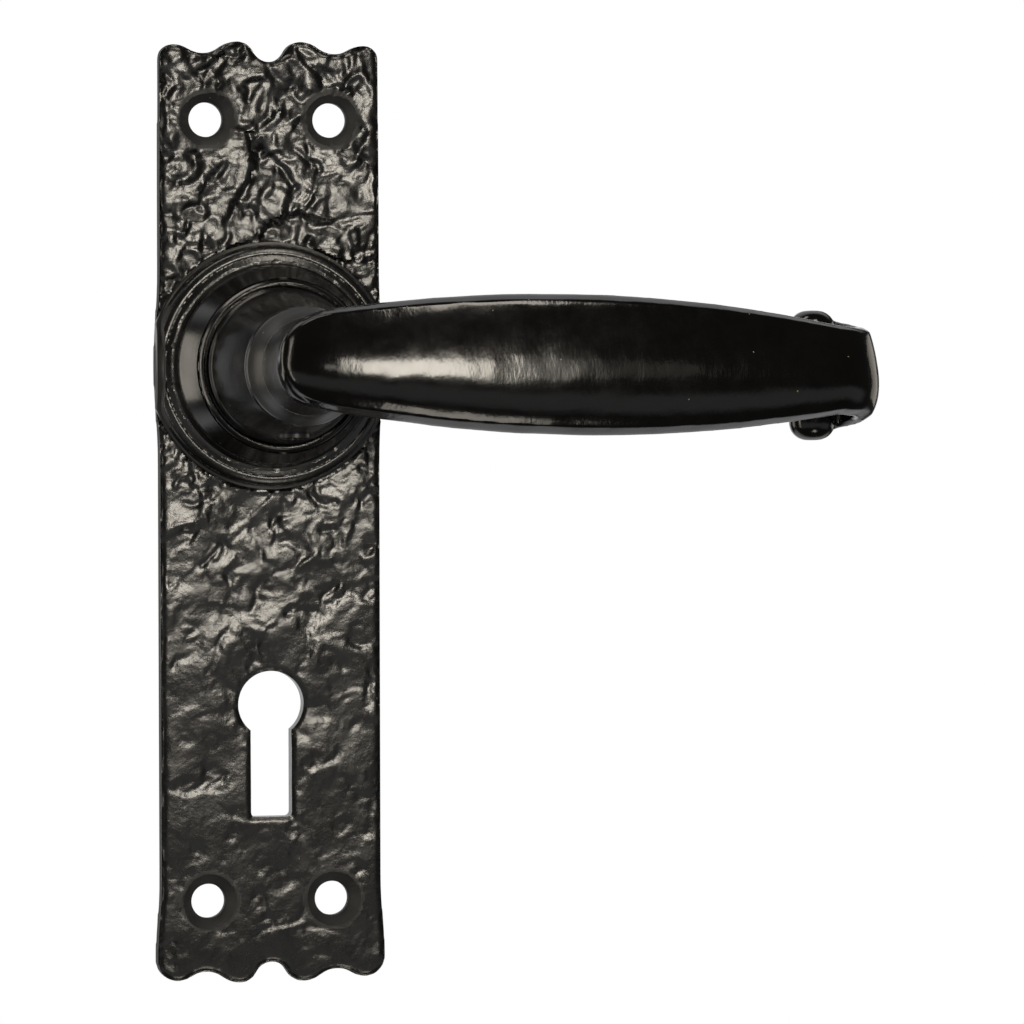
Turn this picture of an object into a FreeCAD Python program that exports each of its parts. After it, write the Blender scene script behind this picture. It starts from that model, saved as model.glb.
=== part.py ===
import FreeCAD, Part
import math
import os

# Sprung lever handle of cast iron on a long keyhole backplate, for a right-hand closing door.
# Millimetres. The door face is the plane y = 0, the front looks along -Y, +X is the way that the
# lever points and +Z is up. The origin is on the spindle's axis, at the plate's back face.
# A "height" in this file is a distance out from the door, so it is -y.

Vector = FreeCAD.Vector

# Backplate
plate_thickness = 3.5
plate_height = 158.3
plate_above_spindle = 54.4
head_width = 37.4
waist_width = 37.6
boss_width = 39.0
boss_width_reach = 17.0
foot_width = 39.0
foot_flare_length = 14.0
head_corner_radius = 2.4
foot_corner_radius = 3.4
outer_cusp_drop = 0.55
scallop_to_inner_cusp = 5.9
inner_cusp_from_middle = 5.4
scallop_depth = 2.0
notch_depth = 3.4
plate_edge_bevel = 0.6

# Screw holes, countersunk from the front
screw_spacing_x = 21.2
screw_spacing_z = 131.4
screw_inset_from_top = 13.1
screw_hole_diameter = 5.8
countersink_diameter = 10.2
countersink_angle = 90.0

# Keyhole for a lever lock: a round eye over a slot
spindle_to_key = 57.0
key_eye_diameter = 11.2
key_slot_width = 7.0
key_slot_below_eye = 19.0
key_slot_corner = 0.8

# Boss on the plate that carries the lever
boss_base_diameter = 41.6
boss_mound_rise = 4.4
boss_mound_fullness = 0.72
boss_mound_runs = 3
boss_cone_base_diameter = 34.2
boss_groove_width = 0.5
boss_groove_depth = 0.5
boss_height = 15.0
boss_lip_diameter = 28.7
boss_lip_bevel = 0.5
boss_lip_depth = 1.6
collar_gap = 0.55
web_thickness = 2.4
recess_diameter = 29.2
recess_straight_depth = 7.5
recess_roof_diameter = 26.4

# Lever casting: shank, bell, neck
shank_diameter = 15.0
shank_back_gap = 0.3
spindle_square = 8.0
spindle_clearance = 0.1
socket_depth = 28.0
collar_diameter = 25.6
collar_straight = 1.4
bell_length = 15.4
bell_bulge = 0.85
bell_runs = 3
bell_top_diameter = 19.6
bead_diameter = 20.0
bead_length = 1.2
bead_runs = 2
neck_diameter = 12.8
neck_waist_height = 38.2
neck_hollow_radius_share = 0.115
neck_hollow_height_share = 0.42
neck_runs = 3
neck_flare_length = 15.0
neck_flare_width = 15.0
neck_flare_lead = 1.6
neck_flare_overlap = 0.6
neck_flare_power = 2.5
neck_flare_steps = 5

# Lever casting: grip, a leaf-shaped bar that bows away from the door and curls back at its end
grip_centre_height = 46.0
grip_bow_radius = 355.0
grip_bow_slope = 5.0
grip_thickness = 7.4
grip_crown = 1.5
grip_back_crown = 0.5
grip_front_runs = 6
grip_back_runs = 3
grip_edge_round = 2.1
grip_edge_limit = 0.4
grip_edge_flat_across = 0.28
grip_edge_flat_out = 0.62
grip_width = 23.2
grip_widest_from_spindle = 42.0
grip_width_at_spindle = 16.2
grip_nose_overhang = 6.6
grip_nose_length = 8.6
grip_nose_power = 2.5
grip_nose_thickness_share = 0.45
grip_nose_shares = (0.996, 0.94, 0.8, 0.55, 0.27)
grip_steps = 8
grip_rise_at_spindle = 1.1
grip_droop = 1.25
curl_start = 87.8
curl_start_thickness = 6.1
curl_radius = 7.0
curl_turn = 175.0
curl_droop = 0.95
curl_droop_share = 0.5
curl_steps = 10
curl_end_thickness = 3.6
curl_end_width = 20.0
curl_flare_from = 0.2
curl_flare_power = 1.2
eye_diameter = 8.0
eye_length = 21.9
eye_edge_bevel = 1.6

# Inner pieces
running_clearance = 0.05
face_clearance = 0.1
washer_thickness = 0.7
washer_side_gap = 0.85
washer_bore_clearance = 0.25
bush_wall = 1.5
bush_flange_thickness = 0.8
bush_flange_diameter = 19.4
thrust_washer_thickness = 0.5
thrust_washer_diameter = 19.0
drive_plate_thickness = 2.0
drive_plate_diameter = 24.4
drive_flat_to_flat = 12.8
stop_tab_reach = 14.1
stop_tab_angle = 112.5
stop_tab_width = 5.6
stop_lug_inner_radius = 12.7
stop_lug_width = 3.4
stop_lug_depth = 2.4
stop_gap = 0.3
lever_travel = 45.0
circlip_thickness = 1.0
circlip_groove_diameter = 13.4
circlip_radial_width = 1.9
circlip_opening = 55.0
circlip_ear_radius = 1.5
circlip_ear_inset = 0.45
circlip_ear_hole_diameter = 1.3
circlip_end_gap = 0.2

# Return spring
wire_diameter = 1.5
wire_sides = 5
spring_mean_diameter = 22.0
spring_turns = 2.25
spring_stretches = 7
spring_bend_radius = 1.6
spring_leg_clearance = 0.15
spring_fixed_angle = 20.0

# Grub screw that pinches the spindle from below
grub_diameter = 5.0
grub_length = 6.0
grub_height = 23.0
grub_sink = 0.6
grub_key_width = 2.5
grub_key_depth = 2.6
thread_clearance = 0.03

beyond = 1.0

# Radius and heights that pieces share
seat_radius = collar_diameter / 2 + collar_gap
web_front = boss_height - boss_lip_depth
web_back = web_front - web_thickness
collar_foot = web_front + washer_thickness + face_clearance
circlip_front = shank_back_gap + circlip_end_gap + circlip_thickness
drive_plate_back = circlip_front
drive_plate_front = drive_plate_back + drive_plate_thickness
thrust_washer_front = drive_plate_front + thrust_washer_thickness
bush_end = thrust_washer_front + face_clearance
bush_radius = shank_diameter / 2 + running_clearance + bush_wall
key_z = -spindle_to_key
plate_bottom = plate_above_spindle - plate_height
bell_top = boss_height + collar_straight + bell_length


def place(x, height, z):
    """A point given by its distance out from the door."""
    return Vector(x, -height, z)


def polar(radius, degrees, height):
    """A point round the spindle; degrees turn from +X towards +Z."""
    angle = math.radians(degrees)
    return place(radius * math.cos(angle), height, radius * math.sin(angle))


def line(a, b):
    return Part.LineSegment(a, b).toShape()


def arc(a, middle, b):
    return Part.Arc(a, middle, b).toShape()


def arc_runs(a, middle, b, count):
    """The arc as short straight runs, so that a turned form is a stack of narrow cones."""
    points = arc(a, middle, b).discretize(Number=count + 1)
    return [line(p, q) for p, q in zip(points, points[1:])]


def revolved(edges):
    """Solid of revolution about the spindle from a closed outline in the plane z = 0."""
    face = Part.Face(Part.Wire(Part.__sortEdges__(edges)))
    return face.revolve(Vector(0, 0, 0), Vector(0, 1, 0), 360)


def revolved_points(points):
    """The same, from straight runs between (radius, height) pairs."""
    corners = [place(radius, height, 0) for radius, height in points]
    following = corners[1:] + corners[:1]
    return revolved([line(a, b) for a, b in zip(corners, following)])


def ring(outer_radius, inner_radius, low, high):
    return revolved_points([(inner_radius, low), (outer_radius, low), (outer_radius, high), (inner_radius, high)])


def rod(radius, low, high, x=0.0, z=0.0):
    """Round bar along the height direction."""
    return Part.makeCylinder(radius, high - low, place(x, low, z), Vector(0, -1, 0))


def block(x_low, x_high, low, high, z_low, z_high):
    return Part.makeBox(x_high - x_low, high - low, z_high - z_low, Vector(x_low, -high, z_low))


def turned(shape, degrees):
    """A copy turned about the spindle, from +X towards +Z."""
    copy = shape.copy()
    copy.rotate(Vector(0, 0, 0), Vector(0, -1, 0), degrees)
    return copy


def tangent_arc(start, corner, end):
    """Arc from start to end that touches both legs of a corner, whose legs are alike."""
    to_middle = (start + end) * 0.5 - corner
    leg = (corner - start).Length
    cosine = to_middle.Length / leg
    sine = math.sqrt(1 - cosine ** 2)
    top = corner + to_middle * (leg * (1 - sine) / cosine / to_middle.Length)
    return Part.Arc(start, top, end)


def s_curve(start, end, way):
    """Two equal arcs that leave start and reach end along the unit vector way."""
    middle = (start + end) * 0.5
    half = middle - start
    leg = half.dot(half) / (2 * half.dot(way))
    first = tangent_arc(start, start + way * leg, middle)
    second = tangent_arc(middle, end - way * leg, end)
    return [first.toShape(), second.toShape()]


def end_wave(width, tip_z, outward, corner_radius):
    """Scalloped end of the plate from its middle notch to its right side: two cusps and a round corner."""
    def at(x, depth):
        return Vector(x, 0, tip_z - outward * depth)

    inner_cusp = inner_cusp_from_middle
    scallop = inner_cusp + scallop_to_inner_cusp
    outer_cusp = width / 2 - corner_radius
    along = Vector(1, 0, 0)
    edges = s_curve(at(0, notch_depth), at(inner_cusp, 0), along)
    edges += s_curve(at(inner_cusp, 0), at(scallop, scallop_depth), along)
    drop = outer_cusp_drop
    edges += s_curve(at(scallop, scallop_depth), at(outer_cusp, drop), along)
    corner = tangent_arc(at(outer_cusp, drop), at(width / 2, drop), at(width / 2, drop + corner_radius))
    return edges + [corner.toShape()]


def plate_side():
    """The right side from the head down to the foot, wider past the boss and flared at the foot."""
    def at(width, z):
        return Vector(width / 2, 0, z)

    down = Vector(0, 0, -1)
    head = at(head_width, plate_above_spindle - outer_cusp_drop - head_corner_radius)
    neck_start = at(waist_width, boss_width_reach)
    neck_end = at(waist_width, -boss_width_reach)
    flare_end = at(foot_width, plate_bottom + outer_cusp_drop + foot_corner_radius)
    flare_start = at(waist_width, flare_end.z + foot_flare_length)
    edges = s_curve(head, neck_start, down)
    edges += s_curve(neck_start, at(boss_width, 0), down)
    edges += s_curve(at(boss_width, 0), neck_end, down)
    edges.append(line(neck_end, flare_start))
    return edges + s_curve(flare_start, flare_end, down)


def plate_outline():
    """Outline of the plate; its left half mirrors its right."""
    head = end_wave(head_width, plate_above_spindle, 1, head_corner_radius)
    foot = end_wave(foot_width, plate_bottom, -1, foot_corner_radius)
    right = head + plate_side() + foot
    left = [edge.mirror(Vector(0, 0, 0), Vector(1, 0, 0)) for edge in right]
    return Part.Wire(Part.__sortEdges__(right + left))


def plate_blank():
    """The flat plate, with its front edge bevelled all round."""
    blank = Part.Face(plate_outline()).extrude(Vector(0, -plate_thickness, 0))
    front = [e for e in blank.Edges if abs(e.BoundBox.YMax + plate_thickness) < 1e-4]
    return blank.makeChamfer(plate_edge_bevel, front)


def boss():
    """Turned boss: a mound, a fine groove, a cone and a lip round the lever's collar."""
    base = boss_base_diameter / 2
    cone = boss_cone_base_diameter / 2
    lip = boss_lip_diameter / 2
    mound_top = plate_thickness + boss_mound_rise
    groove = mound_top - boss_groove_depth
    mound_end = place(cone + boss_groove_width, mound_top, 0)
    mound_start = place(base, plate_thickness, 0)
    reach = base - cone - boss_groove_width
    middle = place(
        cone + boss_groove_width + reach * boss_mound_fullness,
        plate_thickness + boss_mound_rise * boss_mound_fullness, 0)
    lip_start = place(lip, boss_height - boss_lip_bevel, 0)
    lip_end = place(lip - boss_lip_bevel, boss_height, 0)
    groove_outer = place(cone + boss_groove_width, groove, 0)
    groove_inner = place(cone, groove, 0)
    axis_top = place(0, web_front, 0)
    edges = [
        line(place(0, 0, 0), place(base, 0, 0)),
        line(place(base, 0, 0), mound_start),
        line(mound_end, groove_outer),
        line(groove_outer, groove_inner),
        line(groove_inner, lip_start),
        line(lip_start, lip_end),
        line(lip_end, place(seat_radius, boss_height, 0)),
        line(place(seat_radius, boss_height, 0), place(seat_radius, web_front, 0)),
        line(place(seat_radius, web_front, 0), axis_top),
        line(axis_top, place(0, 0, 0)),
    ]
    edges += arc_runs(mound_start, middle, mound_end, boss_mound_runs)
    within = Part.Face(plate_outline()).extrude(Vector(0, -boss_height - beyond, 0))
    return revolved(edges).common(within)


def spring_recess():
    """Hollow behind the boss for the spring and the drive plate, with draft near its roof."""
    mouth = recess_diameter / 2
    roof = recess_roof_diameter / 2
    return revolved_points([
        (0, -beyond),
        (mouth, -beyond),
        (mouth, recess_straight_depth),
        (roof, web_back),
        (0, web_back),
    ])


def stop_half_angle():
    """Half the angle that the stop tab and its gap take up at the lugs."""
    return math.degrees(math.asin((stop_tab_width / 2 + stop_gap) / stop_lug_inner_radius))


def stop_lug(edge_angle, side):
    """Lug on the recess wall whose face at edge_angle stops the tab; side is the way that it extends."""
    root = recess_diameter / 2 + beyond
    low = drive_plate_back
    high = drive_plate_front + stop_lug_depth
    lug = block(0, root, low, high, min(0, side * stop_lug_width), max(0, side * stop_lug_width))
    lug = turned(lug, edge_angle)
    return lug.common(ring(root, stop_lug_inner_radius, low, high))


def stop_lugs():
    rest_face = stop_tab_angle + stop_half_angle()
    travel_face = stop_tab_angle - lever_travel - stop_half_angle()
    return stop_lug(rest_face, 1).fuse(stop_lug(travel_face, -1))


def keyhole():
    """Cutter for the round eye and the slot below it, whose lower corners are rounded."""
    low = -beyond
    high = plate_thickness + beyond
    eye = rod(key_eye_diameter / 2, low, high, z=key_z)
    half = key_slot_width / 2
    slot = block(-half, half, low, high, key_z - key_slot_below_eye, key_z)
    lower = [e for e in slot.Edges if e.BoundBox.YLength > plate_thickness and e.BoundBox.ZMax < key_z - half]
    return eye.fuse(slot.makeFillet(key_slot_corner, lower))


def screw_holes():
    """Cutters for the four countersunk holes."""
    upper = plate_above_spindle - screw_inset_from_top
    hole = screw_hole_diameter / 2
    sink = countersink_diameter / 2
    slope = math.tan(math.radians(countersink_angle / 2))
    depth = (sink - hole) / slope
    cutters = []
    for x in (-screw_spacing_x / 2, screw_spacing_x / 2):
        for z in (upper, upper - screw_spacing_z):
            bore = rod(hole, -beyond, plate_thickness + beyond, x, z)
            cone = Part.makeCone(
                hole, sink + beyond * slope, depth + beyond,
                place(x, plate_thickness - depth, z), Vector(0, -1, 0))
            cutters.append(bore.fuse(cone))
    return cutters


def spring_leg_place(end_angle, direction):
    """Where the axial leg stands that follows the coil's end at end_angle; direction is its winding sense."""
    tangent = Vector(-math.sin(math.radians(end_angle)), 0, math.cos(math.radians(end_angle)))
    foot = polar(spring_mean_diameter / 2, end_angle, 0) + tangent * (direction * spring_bend_radius)
    return foot.x, foot.z


def backplate():
    plate = plate_blank().fuse(boss())
    plate = plate.cut(spring_recess())
    plate = plate.fuse(stop_lugs())
    plate = plate.cut(rod(bush_radius, 0, boss_height))
    fixed_x, fixed_z = spring_leg_place(spring_fixed_angle, -1)
    leg_hole = wire_diameter / 2 + spring_leg_clearance
    plate = plate.cut(rod(leg_hole, web_back - beyond, web_front + beyond, fixed_x, fixed_z))
    for cutter in [keyhole()] + screw_holes():
        plate = plate.cut(cutter)
    return plate.removeSplitter()


def turned_lever_body():
    """Shank, bell, bead and neck, all turned about the spindle."""
    shank = shank_diameter / 2
    collar = collar_diameter / 2
    bell_foot = place(collar, boss_height + collar_straight, 0)
    bell_end = place(bell_top_diameter / 2, bell_top, 0)
    bell_middle = (bell_foot + bell_end) * 0.5 + Vector(bell_bulge, 0, 0)
    bead_end = place(bell_top_diameter / 2, bell_top + bead_length, 0)
    bead_middle = place(bead_diameter / 2, bell_top + bead_length / 2, 0)
    waist = place(neck_diameter / 2, neck_waist_height, 0)
    neck_foot = bell_top + bead_length
    neck_middle = place(
        neck_diameter / 2 + (bell_top_diameter - neck_diameter) * neck_hollow_radius_share,
        neck_foot + (neck_waist_height - neck_foot) * neck_hollow_height_share, 0)
    top = grip_centre_height
    edges = [
        line(place(0, shank_back_gap, 0), place(shank, shank_back_gap, 0)),
        line(place(shank, shank_back_gap, 0), place(shank, collar_foot, 0)),
        line(place(shank, collar_foot, 0), place(collar, collar_foot, 0)),
        line(place(collar, collar_foot, 0), bell_foot),
        line(waist, place(neck_diameter / 2, top, 0)),
        line(place(neck_diameter / 2, top, 0), place(0, top, 0)),
        line(place(0, top, 0), place(0, shank_back_gap, 0)),
    ]
    edges += arc_runs(bell_foot, bell_middle, bell_end, bell_runs)
    edges += arc_runs(bell_end, bead_middle, bead_end, bead_runs)
    edges += arc_runs(bead_end, neck_middle, waist, neck_runs)
    return revolved(edges)


def neck_flare():
    """Casting's blend from the round neck into the underside of the grip, longer on the grip's side."""
    back = grip_centre_height - grip_thickness / 2
    start = neck_waist_height - neck_flare_lead
    wires = []
    for i in range(neck_flare_steps + 1):
        rise = i / neck_flare_steps
        share = rise ** neck_flare_power
        height = start + (back + neck_flare_overlap - start) * rise
        reach = neck_diameter / 2 + share * (neck_flare_length - neck_diameter / 2)
        half_width = neck_diameter / 2 + share * (neck_flare_width - neck_diameter) / 2
        half_length = (reach + neck_diameter / 2) / 2
        centre = place(reach - half_length, height, 0)
        if half_length > half_width + 1e-6:
            oval = Part.Ellipse(
                centre + Vector(half_length, 0, 0), centre + Vector(0, 0, half_width), centre)
        else:
            oval = Part.Circle(centre, Vector(0, 1, 0), half_width)
        wires.append(Part.Wire(oval.toShape()))
    return Part.makeLoft(wires, True, True)


def bow_slope(x):
    """Slope of the grip's centre line at x, in radians; it rises from the spindle and then falls."""
    return math.asin(math.sin(math.radians(grip_bow_slope)) - x / grip_bow_radius)


def bow_height(x):
    start = math.cos(math.radians(grip_bow_slope))
    return grip_centre_height + grip_bow_radius * (math.cos(bow_slope(x)) - start)


def grip_half_width(x):
    """Leaf outline: one circular arc along each edge, widest in the middle of the grip."""
    loss = (grip_width - grip_width_at_spindle) / 2
    return grip_width / 2 - loss * ((x - grip_widest_from_spindle) / grip_widest_from_spindle) ** 2


def grip_section(x, height, slope, half_width, thickness, drop):
    """Closed section of the bar: crowned front, edges eased by narrow flats and a nearly flat back."""
    normal = Vector(-math.sin(slope), -math.cos(slope), 0)
    centre = place(x, height, -drop)
    edge = min(grip_edge_round, half_width * grip_edge_limit)
    shoulder = half_width - edge
    front = thickness / 2
    front_edge = front - grip_crown * thickness / grip_thickness
    back_edge = -front + grip_back_crown * thickness / grip_thickness

    def at(across, out):
        return centre + Vector(0, 0, across) + normal * out

    middle = (front_edge + back_edge) / 2
    half_side = (front_edge - back_edge) / 2
    flat_across = half_width - edge * grip_edge_flat_across
    flat_out = half_side * grip_edge_flat_out
    right = [
        (shoulder, front_edge),
        (flat_across, middle + flat_out),
        (half_width, middle),
        (flat_across, middle - flat_out),
        (shoulder, back_edge),
    ]
    side = [at(across, out) for across, out in right]
    other = [at(-across, out) for across, out in reversed(right)]
    edges = arc_runs(other[-1], at(0, front), side[0], grip_front_runs)
    edges += [line(a, b) for a, b in zip(side, side[1:])]
    edges += arc_runs(side[-1], at(0, -front), other[0], grip_back_runs)
    edges += [line(a, b) for a, b in zip(other, other[1:])]
    return Part.Wire(edges)


def droop_at(x):
    """How far the grip's middle line lies below the spindle; it starts above and falls along the grip."""
    return math.tan(math.radians(grip_droop)) * max(x, 0) - grip_rise_at_spindle


def nose_sections():
    """Sections of the rounded end over the neck."""
    wires = []
    nose_root = grip_nose_length - grip_nose_overhang
    for share in grip_nose_shares:
        x = nose_root - share * grip_nose_length
        fullness = (1 - share ** grip_nose_power) ** (1 / grip_nose_power)
        thickness = grip_thickness * (grip_nose_thickness_share + (1 - grip_nose_thickness_share) * fullness)
        half_width = grip_half_width(x) * fullness
        height = bow_height(x) - (grip_thickness - thickness) / 2
        wires.append(grip_section(x, height, bow_slope(x), half_width, thickness, droop_at(x)))
    return wires


def bow_sections():
    """Sections of the leaf-shaped bar up to the curl."""
    nose_root = grip_nose_length - grip_nose_overhang
    step = (curl_start - nose_root) / grip_steps
    wires = []
    for i in range(grip_steps + 1):
        x = nose_root + step * i
        share = max(0, (x - grip_widest_from_spindle) / (curl_start - grip_widest_from_spindle))
        thickness = grip_thickness - (grip_thickness - curl_start_thickness) * share
        height = bow_height(x) + (grip_thickness - thickness) / 2
        wires.append(grip_section(x, height, bow_slope(x), grip_half_width(x), thickness, droop_at(x)))
    return wires


def curl_centre():
    """Centre that the end of the bar curls about."""
    slope = bow_slope(curl_start)
    height = bow_height(curl_start) + (grip_thickness - curl_start_thickness) / 2
    return curl_start + curl_radius * math.sin(slope), height - curl_radius * math.cos(slope)


def curl_point(radius, turn):
    """A point of the curl and the bar's slope there, turn in radians past its start."""
    x, height = curl_centre()
    slope = bow_slope(curl_start) - turn
    return x - radius * math.sin(slope), height + radius * math.cos(slope), slope


def curl_sections():
    """Sections of the curl, which thins and then flares to the rolled tip."""
    start_half = grip_half_width(curl_start)
    wires = []
    for i in range(1, curl_steps + 1):
        share = i / curl_steps
        x, height, slope = curl_point(curl_radius, math.radians(curl_turn) * share)
        thickness = curl_start_thickness + (curl_end_thickness - curl_start_thickness) * share
        flare = max(0, (share - curl_flare_from) / (1 - curl_flare_from)) ** curl_flare_power
        half_width = start_half + (curl_end_width / 2 - start_half) * flare
        drop = droop_at(curl_start) + curl_droop * min(share / curl_droop_share, 1)
        wires.append(grip_section(x, height, slope, half_width, thickness, drop))
    return wires


def rolled_eye():
    """Rolled tip of the bar: a short upright roll whose outside carries on the curl's outside."""
    radius = eye_diameter / 2
    x, height, _ = curl_point(curl_radius + curl_end_thickness / 2 - radius, math.radians(curl_turn))
    low = -eye_length / 2 - droop_at(curl_start) - curl_droop
    eye = Part.makeCylinder(radius, eye_length, place(x, height, low), Vector(0, 0, 1))
    return eye.makeChamfer(eye_edge_bevel, [e for e in eye.Edges if e.BoundBox.ZLength < 1e-6])


def grip():
    bar = Part.makeLoft(nose_sections() + bow_sections() + curl_sections(), True, True)
    return bar.fuse(rolled_eye())


def drive_profile(half, low, high, radius):
    """Round bar with two flats at +-half along X."""
    return rod(radius, low, high).common(block(-half, half, low, high, -radius, radius))


def bell_radius_at(height):
    """Radius of the bell's side at a height, from the circle through its three points."""
    foot = Vector(collar_diameter / 2, boss_height + collar_straight, 0)
    end = Vector(bell_top_diameter / 2, bell_top, 0)
    middle = (foot + end) * 0.5 + Vector(bell_bulge, 0, 0)
    circle = arc(foot, middle, end).Curve
    return circle.Center.x + math.sqrt(circle.Radius ** 2 - (height - circle.Center.y) ** 2)


def grub_top():
    """How far from the spindle's axis the grub screw's outer end lies."""
    return bell_radius_at(grub_height) - grub_sink


def lever():
    body = turned_lever_body().fuse(neck_flare()).fuse(grip())
    half = spindle_square / 2 + spindle_clearance
    body = body.cut(block(-half, half, 0, socket_depth, -half, half))
    flat = drive_flat_to_flat / 2
    shank = shank_diameter / 2
    for sign in (-1, 1):
        side = block(flat, shank + beyond, 0, drive_plate_front, -shank, shank)
        body = body.cut(turned(side, 0 if sign > 0 else 180))
    groove_back = circlip_front - circlip_thickness
    body = body.cut(ring(shank + beyond, circlip_groove_diameter / 2, groove_back, circlip_front))
    hole_radius = grub_diameter / 2 + thread_clearance
    hole = Part.makeCylinder(hole_radius, collar_diameter / 2, place(0, grub_height, 0), Vector(0, 0, -1))
    return body.cut(hole).removeSplitter()


def front_washer():
    """Friction washer in the boss's lip, under the lever's collar."""
    bore = shank_diameter / 2 + washer_bore_clearance
    return ring(seat_radius - washer_side_gap, bore, web_front, web_front + washer_thickness)


def bearing_bush():
    """Long bush that the shank turns in; its flange bears on the web and its end spaces the drive plate."""
    bore = shank_diameter / 2 + running_clearance
    flange = bush_flange_diameter / 2
    shoulder = web_back - bush_flange_thickness
    return revolved_points([
        (bore, bush_end),
        (bush_radius, bush_end),
        (bush_radius, shoulder),
        (flange, shoulder),
        (flange, web_back),
        (bush_radius, web_back),
        (bush_radius, web_front),
        (bore, web_front),
    ])


def thrust_washer():
    outer = rod(thrust_washer_diameter / 2, drive_plate_front, thrust_washer_front)
    return outer.cut(rod(shank_diameter / 2 + running_clearance, drive_plate_front, thrust_washer_front))


def spring_end_angle():
    """Angle at which the coil ends, above the drive plate."""
    return spring_fixed_angle + 360 * spring_turns


def drive_plate():
    """Steel plate keyed on the shank's flats, with the stop tab and a notch for the spring's leg."""
    low = drive_plate_back
    high = drive_plate_front
    radius = drive_plate_diameter / 2
    plate = rod(radius, low, high)
    tab = block(0, stop_tab_reach, low, high, -stop_tab_width / 2, stop_tab_width / 2)
    tab = tab.common(rod(stop_tab_reach, low, high))
    plate = plate.fuse(turned(tab, stop_tab_angle))
    bore = drive_profile(
        drive_flat_to_flat / 2 + running_clearance, low, high, shank_diameter / 2 + running_clearance)
    plate = plate.cut(bore)
    x, z = spring_leg_place(spring_end_angle(), 1)
    angle = math.degrees(math.atan2(z, x))
    half = wire_diameter / 2 + spring_leg_clearance
    centre = math.hypot(x, z)
    notch = block(centre, radius + beyond, low, high, -half, half).fuse(rod(half, low, high, centre))
    return plate.cut(turned(notch, angle)).removeSplitter()


def circlip():
    """Open spring ring in the shank's groove, with two pierced ears at its opening."""
    low = circlip_front - circlip_thickness
    inner = circlip_groove_diameter / 2 + running_clearance
    outer = inner + circlip_radial_width
    clip = ring(outer, inner, low, circlip_front)
    for sign in (-1, 1):
        ear = polar(outer - circlip_ear_inset, 270 + sign * circlip_opening / 2, 0)
        clip = clip.fuse(rod(circlip_ear_radius, low, circlip_front, ear.x, ear.z))
    clip = clip.cut(rod(inner, low, circlip_front))
    half_gap = circlip_opening / 2 - math.degrees(circlip_ear_radius / outer)
    reach = outer * 2
    gap = [
        place(0, low, 0),
        polar(reach, 270 - half_gap, low),
        polar(reach, 270 + half_gap, low),
    ]
    wedge = Part.Face(Part.makePolygon(gap + gap[:1])).extrude(Vector(0, -circlip_thickness, 0))
    clip = clip.cut(wedge)
    for sign in (-1, 1):
        ear = polar(outer - circlip_ear_inset, 270 + sign * circlip_opening / 2, 0)
        clip = clip.cut(rod(circlip_ear_hole_diameter / 2, low, circlip_front, ear.x, ear.z))
    return clip


def grub_screw():
    """Hexagon socket set screw, pointing at the spindle from below."""
    top = grub_top()
    point = top - grub_length
    body = Part.makeCylinder(grub_diameter / 2, grub_length, place(0, grub_height, -point), Vector(0, 0, -1))
    corner = grub_key_width / math.sqrt(3)
    corners = []
    for i in range(7):
        angle = math.radians(60 * i)
        corners.append(place(corner * math.cos(angle), grub_height + corner * math.sin(angle), -top))
    key = Part.Face(Part.makePolygon(corners)).extrude(Vector(0, 0, grub_key_depth))
    return body.cut(key)


def biarc(start, start_way, end, end_way):
    """Two arcs that join two points with given directions."""
    span = end - start
    ways = start_way + end_way
    a = 2 * (1 - start_way.dot(end_way))
    b = 2 * span.dot(ways)
    leg = (-b + math.sqrt(b * b + 4 * a * span.dot(span))) / (2 * a)
    first_corner = start + start_way * leg
    second_corner = end - end_way * leg
    joint = (first_corner + second_corner) * 0.5
    return [tangent_arc(start, first_corner, joint), tangent_arc(joint, second_corner, end)]


def spring_heights():
    """Heights of the coil's wire at its fixed end, by the web, and at its end by the drive plate."""
    return web_back - spring_bend_radius, drive_plate_front + spring_bend_radius


def spring_point(share):
    """A point of the coil's centre line and its direction, share running from the fixed end to the other."""
    high, low = spring_heights()
    turn = 2 * math.pi * spring_turns
    angle = math.radians(spring_fixed_angle) + turn * share
    radius = spring_mean_diameter / 2
    way = Vector(-radius * turn * math.sin(angle), high - low, radius * turn * math.cos(angle))
    way.normalize()
    return place(radius * math.cos(angle), high + (low - high) * share, radius * math.sin(angle)), way


def spring_path():
    """Coil in equal stretches of two arcs, with a bend and a straight axial leg at each end."""
    out = Vector(0, -1, 0)
    start, start_way = spring_point(0)
    first_corner = start - start_way * spring_bend_radius
    first_leg = first_corner + out * spring_bend_radius
    leg_end = place(first_leg.x, web_back + wire_diameter, first_leg.z)
    curves = [Part.LineSegment(leg_end, first_leg), tangent_arc(first_leg, first_corner, start)]
    for i in range(spring_stretches):
        a, a_way = spring_point(i / spring_stretches)
        b, b_way = spring_point((i + 1) / spring_stretches)
        curves += biarc(a, a_way, b, b_way)
    end, end_way = spring_point(1)
    last_corner = end + end_way * spring_bend_radius
    last_leg = last_corner - out * spring_bend_radius
    tip = place(last_leg.x, drive_plate_back + running_clearance, last_leg.z)
    curves += [tangent_arc(end, last_corner, last_leg), Part.LineSegment(last_leg, tip)]
    return curves


def least_gap(curves):
    """Least clear distance between stretches of the wire that aren't neighbours along it."""
    points = []
    for curve in curves:
        points += curve.toShape().discretize(Number=9)[:-1]
    run = [0.0]
    for a, b in zip(points, points[1:]):
        run.append(run[-1] + (b - a).Length)
    far = math.pi * spring_mean_diameter / 2
    gaps = []
    for i, a in enumerate(points):
        for j in range(i + 1, len(points)):
            if run[j] - run[i] > far:
                gaps.append((points[j] - a).Length)
    return min(gaps) - wire_diameter


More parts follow.
